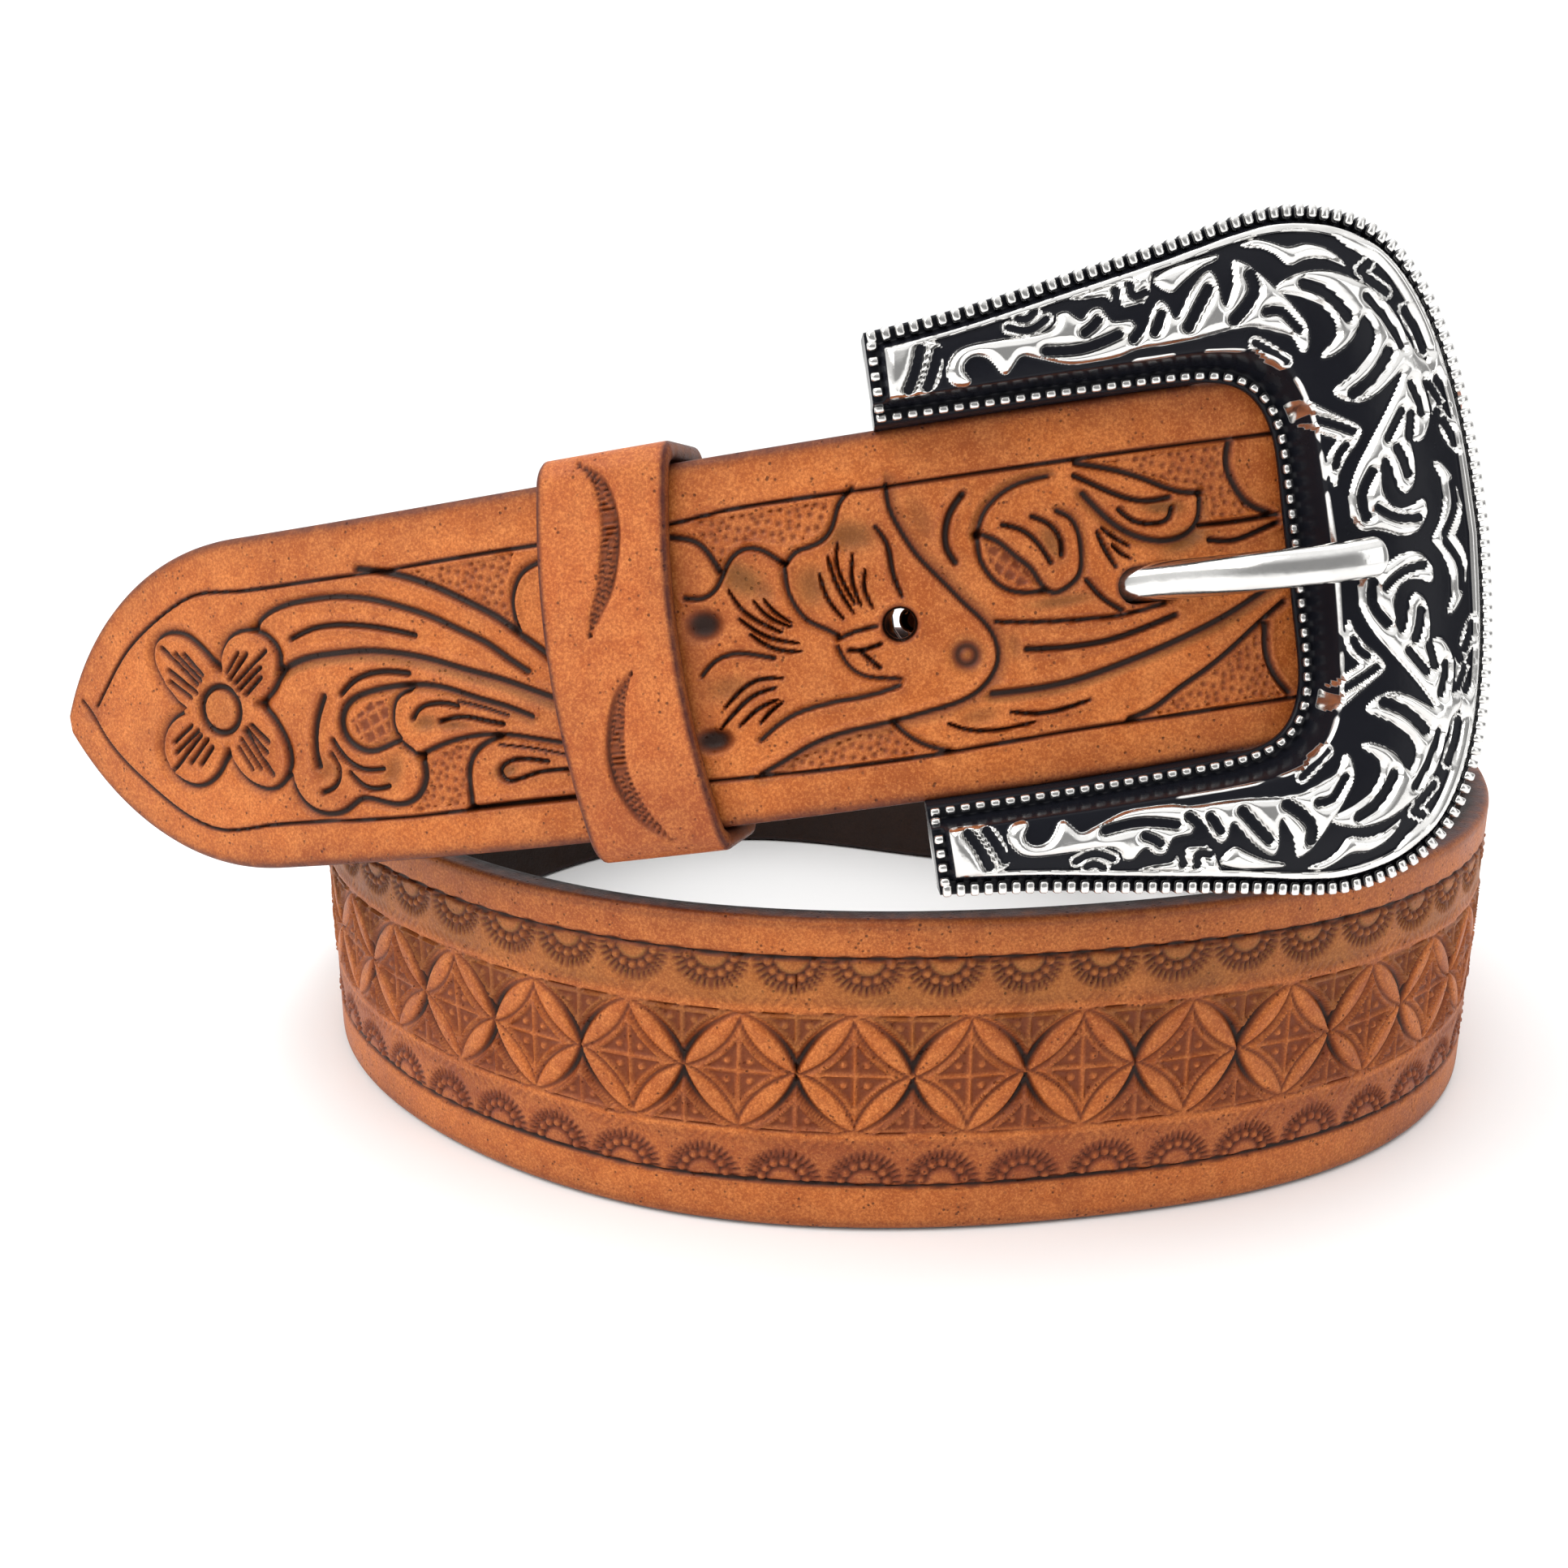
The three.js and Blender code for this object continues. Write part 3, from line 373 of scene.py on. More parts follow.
stemCuts = [
    dict(points=[(31.6, 8.6), (33.1, 9.7), (36.1, 10.7), (39.6, 11), (43.6, 10.9), (47.7, 10.2), (51.9, 8.8),
                 (55.8, 7.1), (59.1, 5.2), (61.9, 3.5), (64.1, 1.6), (66.1, 0)], width=0.85, bevel=0.9),
    dict(points=[(47.2, 13.5), (49.9, 12.9), (53.6, 11.7), (57.4, 9.9), (60.8, 7.9), (63.8, 5.9), (66.1, 3.8),
                 (68.3, 1.8), (70, 0)], width=0.95, bevel=0.8),
    dict(points=[(36.9, 7), (40.2, 7.8), (43.6, 7.8), (47.2, 7.25), (50.5, 6.4), (53.3, 5.5)], width=0.8),
    dict(points=[(34.9, 3.7), (37.2, 4.4), (40.2, 4.75), (42.2, 4.75), (46.3, 4.6), (50.5, 3.9), (54.7, 2.7),
                 (58.8, 1.1), (63, -0.5), (65.8, -1.8), (70, -3.8)], width=0.95, bevel=-1.6, tint=0.55),
    dict(points=[(42.7, 0.2), (44.4, 1.4), (46.6, 2), (49.1, 2), (51.75, 1.5)], width=0.85),
    dict(points=[(65.8, -4.8), (63, -3.4), (59.7, -2.1), (55.8, -0.5), (52.4, 0.2), (49.1, 0.3), (45.8, 0),
                 (43.3, -0.9), (42.1, -2.6), (42.2, -4.3), (43.3, -5.7), (45.2, -6.5), (47.4, -6.2), (49.1, -5.7)],
         width=0.85, bevel=1.1, tint=0.3),
    dict(points=[(51.6, -0.25), (49.9, -0.9), (49, -2.6), (49, -4.6), (49.9, -6.2), (51.6, -7.5)], width=0.75,
         bevel=-0.9, tint=0.3),
    dict(points=[(51.6, -7.5), (54.7, -6.6), (58.8, -6.1), (63, -6.5), (65.8, -7.2), (70, -8.3)], width=0.7,
         bevel=-0.9),
    dict(points=[(51.5, -3.4), (52.4, -2.5), (54.1, -2.1), (56.1, -2.3), (57.3, -2.7)], width=0.7),
    dict(points=[(54.7, -4.1), (57.4, -3.9), (60.2, -4.6), (62.4, -5.25)], width=0.65),
    dict(points=[(57.4, -2.2), (60, -3.1), (63.1, -4.4)], width=0.4, depth=0.3),
    dict(points=[(40.2, 0.1), (38.9, -2.2), (38.1, -5), (38, -7.6)], width=0.95),
    dict(points=[(40.2, -6.4), (40.8, -8.1), (40, -9.9), (38.2, -10.6)], width=0.8),
    dict(points=[(40.6, -4.85), (42.1, -7.15), (43.9, -8.35), (46.6, -8.6)], width=0.75),
    dict(points=[(42.4, -8.7), (43.8, -10.25), (45.5, -10.75), (47, -10.6)], width=0.75),
    dict(points=[(33.9, -8.6), (34.7, -10.8), (36.4, -12.5), (38.4, -13.1), (41.1, -12.7), (43.2, -11.7),
                 (45.8, -12.2), (48.3, -12.7), (50.2, -12.2), (51.6, -10.7), (52, -9), (51.8, -7.7)], width=0.85,
         bevel=-0.9),
    dict(points=[(61.6, -6.5), (59.7, -7.1), (58, -8.4), (57.2, -10.7), (57.2, -13.9)], width=0.75, bevel=0.8),
    dict(points=[(57, -13.95), (62, -13.9), (70, -13.95)], width=0.8),
    dict(points=[(66.9, -9.8), (64.7, -9.3), (62.4, -9.3), (61.1, -10.25), (61.6, -11.2), (63, -11.35),
                 (65.2, -10.9), (70, -11)], width=0.6),
    dict(points=[(61.6, -7.4), (65, -8.1), (70, -9.6)], width=0.35, depth=0.25),
    dict(points=[(70, 11.4), (68.7, 11.05), (67.2, 10.4), (66.1, 9.05), (65.5, 7.1), (65.8, 4.6)], width=0.75,
         bevel=-0.8),
    dict(points=[(84, 11.6), (85.2, 11.3), (86.6, 10.7), (87.9, 9.05), (88.6, 7.4)], width=0.75, bevel=0.7),
    dict(points=[(84.6, 5.2), (86.6, 4.95), (87.9, 5.6), (88.9, 7), (89.9, 8.4), (91.3, 9.2), (92.9, 9.05),
                 (94.3, 8.1), (95.4, 7.1)], width=0.65, bevel=0.6),
    dict(points=[(89.3, 5.3), (90.4, 3.2), (92.1, 1.6), (94.1, 0.3)], width=0.55, taper=0.5),
    dict(points=[(89.9, 2.4), (91.3, 1), (92.9, -0.1), (95.6, -1)], width=0.5, taper=0.5),
    dict(points=[(90.9, 0.6), (92.4, -0.8), (94.1, -1.6), (95.8, -1.9)], width=0.55, taper=0.5),
    dict(points=[(91.7, 3.9), (92.8, 2.3), (95.2, 0.7)], width=0.45, taper=0.5),
    dict(points=[(92.8, 3.8), (93.8, 2.4), (95.3, 1.1)], width=0.45, taper=0.5),
    dict(points=[(85.2, -3), (86.6, -1.8), (89, -1.2), (91, -1.6), (92.9, -2.2)], width=0.6, bevel=0.5),
    dict(points=[(93.6, -4.4), (91, -4.2), (89.2, -4.9), (87.2, -6.6)], width=0.55, taper=0.5),
    dict(points=[(92.7, -5.25), (90.4, -5.7), (88.2, -7.1), (86.3, -8.7)], width=0.6, taper=0.5),
    dict(points=[(92.7, -6.5), (90.7, -7.1), (88.4, -8.7)], width=0.55, taper=0.5),
    dict(points=[(93.2, -6.8), (91.8, -7.6), (90.6, -8.7)], width=0.5, taper=0.5),
    dict(points=[(105.2, -6.8), (102.7, -7.3), (99.3, -7.5), (96.6, -7.75), (93.8, -8.4), (90.4, -10.4)], width=0.6,
         bevel=-0.8),
    dict(points=[(89.9, -13.9), (92.7, -12.75), (95.4, -11.6), (99.6, -10.7), (103.8, -10.35), (107.9, -9.8),
                 (110.5, -9.4), (112.6, -8.7), (114.4, -7.3), (115.4, -5.5), (115.4, -3.7), (114.6, -1.8),
                 (112.9, 0.4), (110.9, 3.1), (108.8, 6), (107.4, 8.9), (106.6, 11.6), (106.6, 13.5)], width=0.65,
         bevel=-1.7, bevelDepth=0.5, tint=0.25),
    dict(points=[(95.7, 7.25), (96.6, 8.1), (98.2, 8.5), (99.9, 9.2), (101, 10.7), (101.8, 12.4), (103.2, 13.6)],
         width=0.65, bevel=0.7),
    dict(points=[(95.4, 7.1), (95.3, 4.9), (95.9, 2.7), (97.1, 1), (98.8, -0.1), (99.75, -0.8)], width=0.65,
         bevel=-0.8),
    dict(points=[(98.8, 5.6), (99.2, 3.2), (100.6, 0.7)], width=0.5, taper=0.5),
    dict(points=[(99.9, 7.25), (100.3, 4.6), (101.6, 1.3)], width=0.5, taper=0.5),
    dict(points=[(101.1, 8.6), (100.7, 6.8), (101.1, 4.3), (102, 2)], width=0.45, taper=0.5),
    dict(points=[(102.4, 7.1), (102, 4.6), (102.5, 1.8)], width=0.5, taper=0.5),
    dict(points=[(103.4, 5.3), (103.1, 3.5), (103.6, 1.55)], width=0.5, taper=0.5),
    dict(points=[(105, 9.5), (105.9, 7.7), (106.1, 4.9), (106.7, 2.2)], width=0.7, taper=0.4),
    dict(points=[(99.75, -1.2), (101.6, -0.7), (103.7, -0.5)], width=0.55, bevel=0.5),
    dict(points=[(100.7, -2.5), (102.3, -2.6), (103.9, -2.3)], width=0.55),
    dict(points=[(101.8, -2.75), (102.7, -3.8), (103.5, -4.7)], width=0.55),
    dict(points=[(99.6, -2), (100.4, -4), (101.8, -5.25), (103.8, -5.8), (105.4, -6.1)], width=0.5, bevel=-0.6),
    dict(points=[(104, -10.4), (105.4, -12.05), (107.1, -13.3), (109.3, -14.2)], width=0.6, bevel=0.8),
    dict(points=[(109.6, -11.4), (111.2, -12.2), (113.8, -12.7), (118.1, -12.5)], width=0.5, taper=0.4),
    dict(points=[(116, -11.1), (118.2, -11.6), (121.2, -11.6), (124, -11.1)], width=0.6, taper=0.4),
    dict(points=[(114.4, -9), (118.2, -9.1), (122.6, -8.9), (127.1, -8.1), (131.5, -7.1), (135.9, -5.9),
                 (140.3, -4.4), (143.5, -3), (147, -1.4)], width=0.9, bevel=-1.3, tint=0.55),
    dict(points=[(118.4, -5), (122.6, -5.4), (127.1, -5.3), (130.9, -4.6), (134, -3.85)], width=0.8),
    dict(points=[(115.7, -1.8), (119.7, -2.4), (125, -2.9), (128.5, -3), (133, -2.5)], width=0.55, bevel=0.5),
    dict(points=[(127.9, -13.7), (130.6, -13), (133.2, -11.6), (136.5, -10), (140.3, -7.8), (143.2, -5.9),
                 (146, -4.2)], width=0.8, bevel=-0.9),
    dict(points=[(114, 11.4), (112.6, 9.8), (111.9, 8.1), (111.8, 6.3), (112.4, 4.8)], width=0.9),
    dict(points=[(122.6, 11.9), (119.7, 11.6), (117.4, 10.6), (115.7, 8.9), (115, 7.3)], width=0.6, bevel=-1.2,
         tint=0.4),
    dict(points=[(115, 7.3), (114.9, 5.1), (115.6, 3.1), (117.1, 1.4), (119.1, 0.7), (120.9, 0.6)], width=0.65,
         bevel=-0.7),
    dict(points=[(115, 7.3), (116.8, 6.3), (118.5, 4.5), (120, 2.8), (120.9, 1), (121.8, 0.3), (123.2, 0.6),
                 (124.6, 1.7), (125.1, 3.6), (125.1, 5.7), (124.4, 7.5), (123.2, 8.35)], width=0.7, bevel=-0.9,
         tint=0.2),
    dict(points=[(117.6, 7.8), (119.4, 7), (120.9, 5.4), (121.9, 3.35)], width=0.65),
    dict(points=[(120.6, 8.2), (122.4, 7), (123.2, 5.4), (123.1, 3.9)], width=0.65),
    dict(points=[(125.3, 11.6), (127.4, 10.3), (130, 8.8), (132.1, 8.1), (134.7, 8.1)], width=0.7),
    dict(points=[(125.6, 12.8), (129.4, 11.6), (132.9, 10), (135.9, 8.5), (138.2, 8.1)], width=0.75, bevel=0.6),
    dict(points=[(126, 9.7), (127.4, 7.8), (129.4, 5.7), (132.1, 4.2), (134.7, 3.8), (136.8, 4.5), (137.8, 6.3),
                 (137.9, 7.8)], width=0.8, bevel=-1.2, tint=0.3),
    dict(points=[(129.4, 7.6), (130.6, 6.4), (132.6, 5.7), (134.4, 6), (135, 7)], width=0.65),
    dict(points=[(126.9, 5.7), (127.4, 4.2), (128.4, 1.9)], width=0.65, taper=0.4),
    dict(points=[(127.4, 6), (128.7, 4.8), (130, 3.8)], width=0.55, taper=0.4),
    dict(points=[(128.2, 4.2), (129, 3.3), (129.9, 2.6)], width=0.5, taper=0.4),
    dict(points=[(125.3, 1), (126.8, -1.1), (128.5, -2.5)], width=0.7),
    dict(points=[(141.6, 12.6), (141.2, 10.7), (141.8, 8.35), (143.2, 6.3), (145.3, 5)], width=0.8, bevel=-0.7),
    dict(points=[(137.8, 4.8), (141.5, 4.7), (146, 4.8)], width=0.6),
    dict(points=[(138.5, 3.2), (140.9, 2.8), (143.2, 3.2), (146, 4)], width=0.7),
    dict(points=[(143.8, -6.2), (143.5, -8.4), (144, -11.1), (145.7, -13.7)], width=0.8, bevel=-0.7),
]
petalCuts = [
    [(19.3, 0.4), (17.8, 2.2), (16.4, 4.5), (15.8, 6.6), (16.4, 8.4), (17.8, 9.3), (19.6, 9.4), (21.4, 8.9),
     (23.1, 7.6), (24.6, 6), (25.6, 4.5)],
    [(25.6, 4.5), (26.5, 6.6), (28, 8.1), (29.9, 8.6), (31.6, 8.5), (33.4, 7.6), (34.6, 6), (34.7, 4.2),
     (34, 2.5), (32.5, 1), (30.9, 0.2)],
    [(30.9, 0.2), (32.2, -1.1), (33.4, -3.1), (34.1, -5.2), (34, -7.2), (32.8, -8.9), (31.1, -9.7), (29, -9.4),
     (26.9, -8), (25.6, -6.1), (25, -4.9)],
    [(25, -4.9), (24, -6.5), (22.2, -8), (19.9, -8.7), (17.5, -8.1), (15.8, -6.6), (15, -4.6), (15.5, -2.5),
     (16.9, -0.9), (19.3, 0.2)],
]
petalStrokes = [
    [(17.5, 7.8), (19.7, 5.7), (22.2, 3.1)], [(20.9, 6.7), (23.1, 4.1)], [(19.6, 6.9), (22.8, 3.5)],
    [(18.1, 5.1), (21.9, 2.2)], [(18.1, 3.8), (20.9, 1.7)],
    [(33, 6), (28, 2.8)], [(29, 6.1), (26.9, 4.1)], [(30.2, 5.9), (27.3, 3.3)], [(31.9, 4.2), (28.4, 2)],
    [(31.8, 3.1), (29.3, 1.4)],
    [(16.5, -6.5), (21.6, -2.8)], [(17.2, -3.3), (20.3, -1.6)], [(17.2, -4.6), (21.3, -2.2)],
    [(19.3, -5.9), (22.5, -3.4)], [(20.9, -6.2), (23, -4.3)],
    [(31.5, -8.1), (28.4, -2.8)], [(27.1, -4.6), (28.6, -7.2)], [(27.7, -3.7), (29.9, -7.2)],
    [(28.7, -2.5), (31.1, -5.5)], [(29.4, -2.2), (31.5, -4.3)],
]
pebbleGrounds = [
    [(54, 12.3), (66.5, 12.5), (65, 9), (65, 5.6), (61, 8.6), (57.4, 10.8)],
    [(52.6, -7.9), (58.5, -6.8), (57, -9.5), (56.6, -13.4), (50, -13.6), (52.3, -10.8)],
    [(86.5, 12.7), (100.8, 12.8), (99.6, 9.9), (96.2, 8.9), (93.4, 9.9), (90.5, 9.8), (88.9, 8.4)],
    [(93.4, -12.9), (99.6, -11.4), (103.6, -11.1), (105, -12.6), (106, -13.9), (92.5, -13.8)],
    [(128.6, 12.6), (140.8, 12.6), (140.6, 10.5), (141.4, 8), (143.5, 5.4), (138.6, 5.2), (138.8, 8.6),
     (134.5, 9.9)],
    [(131, -13.6), (136.6, -10.8), (142.8, -7.2), (142.8, -9), (143.6, -12), (144.8, -13.8)],
]
nettedBuds = [
    dict(polygon=[(43.5, -2.9), (44.4, -5), (46, -5.8), (48.2, -5.3), (48.3, -2.6), (48.6, -1.3), (46.5, -1)],
         turn=20, pitch=1.5),
    dict(polygon=[(115.6, 6.2), (117.4, 5.3), (119.4, 2.9), (120.2, 1.5), (118.4, 1.6), (116.5, 3), (115.7, 4.8)],
         turn=50, pitch=1.35),
]
pearHollows = [
    ((52.9, -4.1), (1.5, 0.9), 0, 0.7), ((61.8, -10.3), (1.5, 0.8), 10, 0.7), ((39, -8), (1.3, 1.6), 0, 0.3),
    ((48, -8.9), (1.2, 2), -30, 0.5), ((86, 1.8), (2, 1.4), 0, 0.2), ((90.7, 6.3), (2.6, 1.5), -40, 0.9),
    ((92.6, 4.9), (1.6, 1.1), -45, 0.5), ((87.9, -4.7), (2.6, 1.3), 0, 0.5), ((97.9, 4.5), (1.6, 2.1), 0, 0.7),
    ((102.4, 9), (2.6, 1.5), -10, 0.8), ((112.8, -11.1), (2.2, 0.9), 0, 0.4), ((85.7, -9.8), (1.8, 1.4), 0, 0.1),
    ((134, 7.2), (2.2, 0.7), -10, 0.9), ((136, 3.6), (2.6, 1.1), 15, 0.9), ((122.3, 5.4), (1, 1.8), 15, 0.7),
    ((109.6, 9.5), (1.3, 2.6), 15, 0.3), ((56, -4.6), (2.4, 0.6), -8, 0.6), ((122.6, -0.7), (3.2, 0.6), 0, 0.7),
    ((40.2, -8.4), (0.7, 1.2), 0, 0.5), ((117.2, -4.6), (0.8, 1.4), 0, 0.4),
]


def toolTail(tooling):
    field = smooth(tooling.y, -13.9, -12.5) * (1 - smooth(tooling.y, 11.8, 13.2)) * smooth(tooling.x, 8, 14)
    tooling.antique = field * (0.07 + 0.07 * waver(tooling.x, tooling.y, 10, 9))
    for points in borderCuts:
        tooling.cut(points, width=0.5, depth=0.4, bevel=0.0, lip=0.06)
    for points in petalCuts:
        tooling.cut(points, width=0.7, depth=0.6, bevel=1.3, bevelDepth=0.7, lip=0.16)
    for points in petalStrokes:
        tooling.cut(points, width=0.62, depth=0.5, lip=0.16)
    ring = [(25 + 2.8 * math.cos(a), -0.1 + 2.7 * math.sin(a)) for a in np.linspace(0, 2 * math.pi, 25)]
    tooling.cut(ring, width=0.95, depth=0.6, lip=0.1)
    tooling.dimple((25, -0.1), (3.6, 3.6), depth=0.16, olive=0.2, antique=0.1)
    for cut in stemCuts:
        tooling.cut(**cut)
    for polygon in pebbleGrounds:
        tooling.pebbles(polygon)
    for bud in nettedBuds:
        tooling.netting(**bud)
    for centre, radii, turn, olive in pearHollows:
        tooling.dimple(centre, radii, turn, olive=olive)
    # hollows beside the keeper, painted dark as the keeper's shadow, and a painted shadow band along the keeper's edge
    for cx, cy, across, high in ((86.2, 2.2, 1.9, 1.5), (85.4, -9.8, 2.0, 1.2)):
        spot = np.exp(-(((tooling.x - cx) / across) ** 2 + ((tooling.y - cy) / high) ** 2) ** 2)
        tooling.level -= 0.6 * spot
        tooling.antique = np.maximum(tooling.antique, 0.95 * spot ** 0.7)
    # painted shadow of the keeper on the tail
    beside = np.exp(-((tooling.x - 84.5) / 3.2) ** 2) * smooth(12 - np.abs(tooling.y), 0, 4)
    tooling.antique = np.maximum(tooling.antique, 0.24 * beside)
    # stamped eye beside the second hole
    eye = (112.35, -4.7)
    r = np.hypot(tooling.x - eye[0], tooling.y - eye[1])
    ring = np.exp(-((r - 0.95) / 0.55) ** 2)
    tooling.level -= 0.45 * ring
    tooling.antique = np.maximum(tooling.antique, 0.85 * ring)
    tooling.olive = np.maximum(tooling.olive, 0.5 * np.exp(-(r / 1.9) ** 4))
    tooling.level -= 0.12 * np.exp(-(r / 2.2) ** 4)
    # smudge of dye at the tip
    tip = np.exp(-((tooling.x - 4) / 1.6) ** 2 - ((tooling.y - 0.8) / 1) ** 2)
    tooling.plum = np.maximum(tooling.plum, 0.6 * tip)
    holeRise = belt["holeRise"]
    for index in (1, 3):
        centre = (belt["firstHoleAt"] + belt["holePitch"] * index, holeRise)
        tooling.punch(centre, centre, 1.85)
    tooling.punch((holeInUseAt - 1.2, -0.3), (holeInUseAt + 1.8, -0.3), 1.95)


lattice = dict(nodeAt=483.0, pitch=12.7, half=6.95, middle=0.4, petal=1.12, upperLine=14.45, lowerLine=-13.35,
               upperBurst=554.25, upperPitch=8.6, lowerBurst=554.0, lowerPitch=9.08)


# Stamped lattice of petals between rows of sunbursts.
def toolLattice(tooling):
    x = tooling.x + 0.22 * waver(tooling.x, tooling.y, 9, 1)
    y = tooling.y + 0.22 * waver(tooling.x, tooling.y, 8, 2)
    pitch, q = lattice["pitch"], lattice["half"]
    p = pitch / 2
    steps = (x - lattice["nodeAt"]) / pitch
    ax = np.abs((steps - np.round(steps)) * pitch)
    ly = y - lattice["middle"]
    ay = np.abs(ly)
    length = math.hypot(p, q)
    t = (ax * p + ay * q) / length
    n = (ay * p - ax * q) / length
    radius = (length ** 2 / 4 + lattice["petal"] ** 2) / (2 * lattice["petal"])
    bow = np.sqrt(np.maximum(radius ** 2 - (t - length / 2) ** 2, 0)) - (radius - lattice["petal"])
    edge = np.abs(n) - bow
    field = (ay < q + 0.1).astype(float)
    outer, inner = (n > 0) * field, (n <= 0) * field
    nearNode = smooth(length - t, 0.5, 8)
    level, antique, red = np.zeros(x.size), np.zeros(x.size), np.zeros(x.size)
    level += 0.16 * smooth(-edge, 0, 0.8) * field
    outerCut = np.exp(-(np.abs(edge - 0.26) / (0.26 + 0.2 * nearNode)) ** 3) * outer
    innerCut = np.exp(-((edge - 0.2) / 0.22) ** 2) * inner
    level -= (0.32 + 0.42 * nearNode) * outerCut + 0.34 * innerCut
    antique = np.maximum(antique, (0.5 + 0.5 * nearNode) * outerCut)
    antique = np.maximum(antique, 0.62 * innerCut)
    # threads that run along the concave sides of the tiles
    level += 0.2 * np.exp(-((edge - 1.0 - 0.15 * nearNode) / 0.2) ** 2) * outer
    level += 0.2 * np.exp(-((edge - 0.78) / 0.2) ** 2) * inner
    bx = p - ax
    ground = smooth(edge, 0.3, 0.6) * inner
    roof = (ay < q + 0.35)
    half = smooth(edge, 0.55, 0.9) * (n > 0) * roof
    ridge = np.exp(-(ay / 0.24) ** 2) * smooth(bx, 0.1, 0.3) + np.exp(-(bx / 0.24) ** 2) * smooth(q - ay, 0.9, 1.6)
    ridge = np.maximum(ridge, np.exp(-((edge - 0.78) / 0.24) ** 2)) * inner
    rib = np.exp(-(ax / 0.24) ** 2) * smooth(ay, 2.4, 3) * (ay < q + 0.9)
    bar = np.exp(-((ay - q + 0.1) / 0.24) ** 2)
    ridge = np.maximum(ridge, np.maximum(np.maximum(rib, bar), np.exp(-((edge - 1.15) / 0.22) ** 2)) * (n > 0) * roof)
    ridge = np.clip(ridge, 0, 1)
    for r in (np.hypot(bx - 1.3, ay - 1.25), np.hypot(ax - 1.35, ay - (q - 1.2))):
        ridge = np.maximum(ridge, np.exp(-(r / 0.4) ** 4))
    sunk = np.maximum(ground, half)
    level += (0.42 * ridge - 0.32) * sunk
    antique = np.maximum(antique, (0.5 - 0.44 * ridge) * sunk)
    red = np.maximum(red, (0.22 - 0.15 * ridge) * sunk)
    underBar = np.exp(-((ay - q - 0.3) / 0.2) ** 2) * smooth(ax, 0.3, 1)
    level -= 0.12 * underBar
    antique = np.maximum(antique, 0.3 * underBar)
    # fine fan lines between the lattice and the sunbursts
    fan = smooth(ay, q + 0.9, q + 1.2) * (1 - smooth(ay, q + 1.9, q + 2.6))
    slant = np.cos((ax + 0.9 * (ay - q)) * 2 * math.pi / 1.25)
    level -= 0.12 * fan * (0.5 + 0.5 * slant)
    antique = np.maximum(antique, 0.28 * fan * (0.5 + 0.5 * slant))
    # sunbursts: seven seeds and short rays, open towards the edge
    for sign, line, start, gap in ((1, lattice["upperLine"], lattice["upperBurst"], lattice["upperPitch"]),
                                   (-1, lattice["lowerLine"], lattice["lowerBurst"], lattice["lowerPitch"])):
        step = (x - start) / gap
        number = np.round(step)
        cx = (step - number) * gap + 0.25 * np.sin(number * 7.7)
        cy = sign * line - sign * y - 0.1 + 0.15 * np.sin(number * 3.1)
        r = np.hypot(cx, cy)
        angle = np.arctan2(cx, cy)
        below = smooth(cy, -0.3, 0.2)
        seedStep = math.radians(26)
        seedAngle = (angle / seedStep - np.round(angle / seedStep)) * seedStep
        seed = np.hypot(r - 2.6, seedAngle * 2.6)
        inSeed = np.exp(-(seed / 0.5) ** 4)
        band = smooth(r, 1.6, 2.1) * (1 - smooth(r, 3.0, 3.5)) * below
        level += (0.46 * inSeed - 0.3) * band
        antique = np.maximum(antique, (0.85 - 0.78 * inSeed) * band)
        rays = (0.5 + 0.5 * np.cos(angle * 34)) * smooth(r, 3.0, 3.3) * (1 - smooth(r, 3.7, 4.9)) * below
        level -= 0.3 * rays
        antique = np.maximum(antique, 0.85 * rays)
        glow = (1 - smooth(r, 2.6, 6.2)) * smooth(r, 0.8, 2) * smooth(cy, -0.5, 0.6) * (1 - 0.7 * inSeed * band)
        if sign > 0:
            tooling.olive = np.maximum(tooling.olive, 0.95 * glow)
        else:
            tooling.plum = np.maximum(tooling.plum, 0.95 * glow)
    stained = 0.4 + 0.15 * waver(tooling.x, tooling.y, 6, 8)
    tooling.olive = np.maximum(tooling.olive, stained * smooth(ly, q + 0.5, q + 2))
    tooling.plum = np.maximum(tooling.plum, stained * smooth(-ly, q + 0.5, q + 2))
    tooling.olive = np.maximum(tooling.olive, 0.45 * half * (ly > 0))
    tooling.plum = np.maximum(tooling.plum, np.maximum(red, 0.4 * half * (ly < 0)))
    tooled = smooth(tooling.y, lattice["lowerLine"], lattice["lowerLine"] + 0.3)
    tooled *= 1 - smooth(tooling.y, lattice["upperLine"] - 0.3, lattice["upperLine"])
    tooling.level += level * tooled * (1 + 0.25 * waver(tooling.x, tooling.y, 7, 3))
    tooling.antique = np.maximum(tooling.antique, antique * tooled)
    tooling.olive *= tooled
    tooling.plum *= tooled
    for line in (lattice["upperLine"], lattice["lowerLine"]):
        off = np.abs(tooling.y - line + 0.12 * waver(tooling.x, tooling.y, 11, 4))
        wide = 0.28 + 0.06 * np.sin(tooling.x * 1.7)
        groove = np.exp(-(off / wide) ** 4)
        tooling.level -= 0.42 * groove
        tooling.antique = np.maximum(tooling.antique, groove)
        tooling.antique = np.maximum(tooling.antique, 0.3 * np.exp(-(off / 0.7) ** 2))


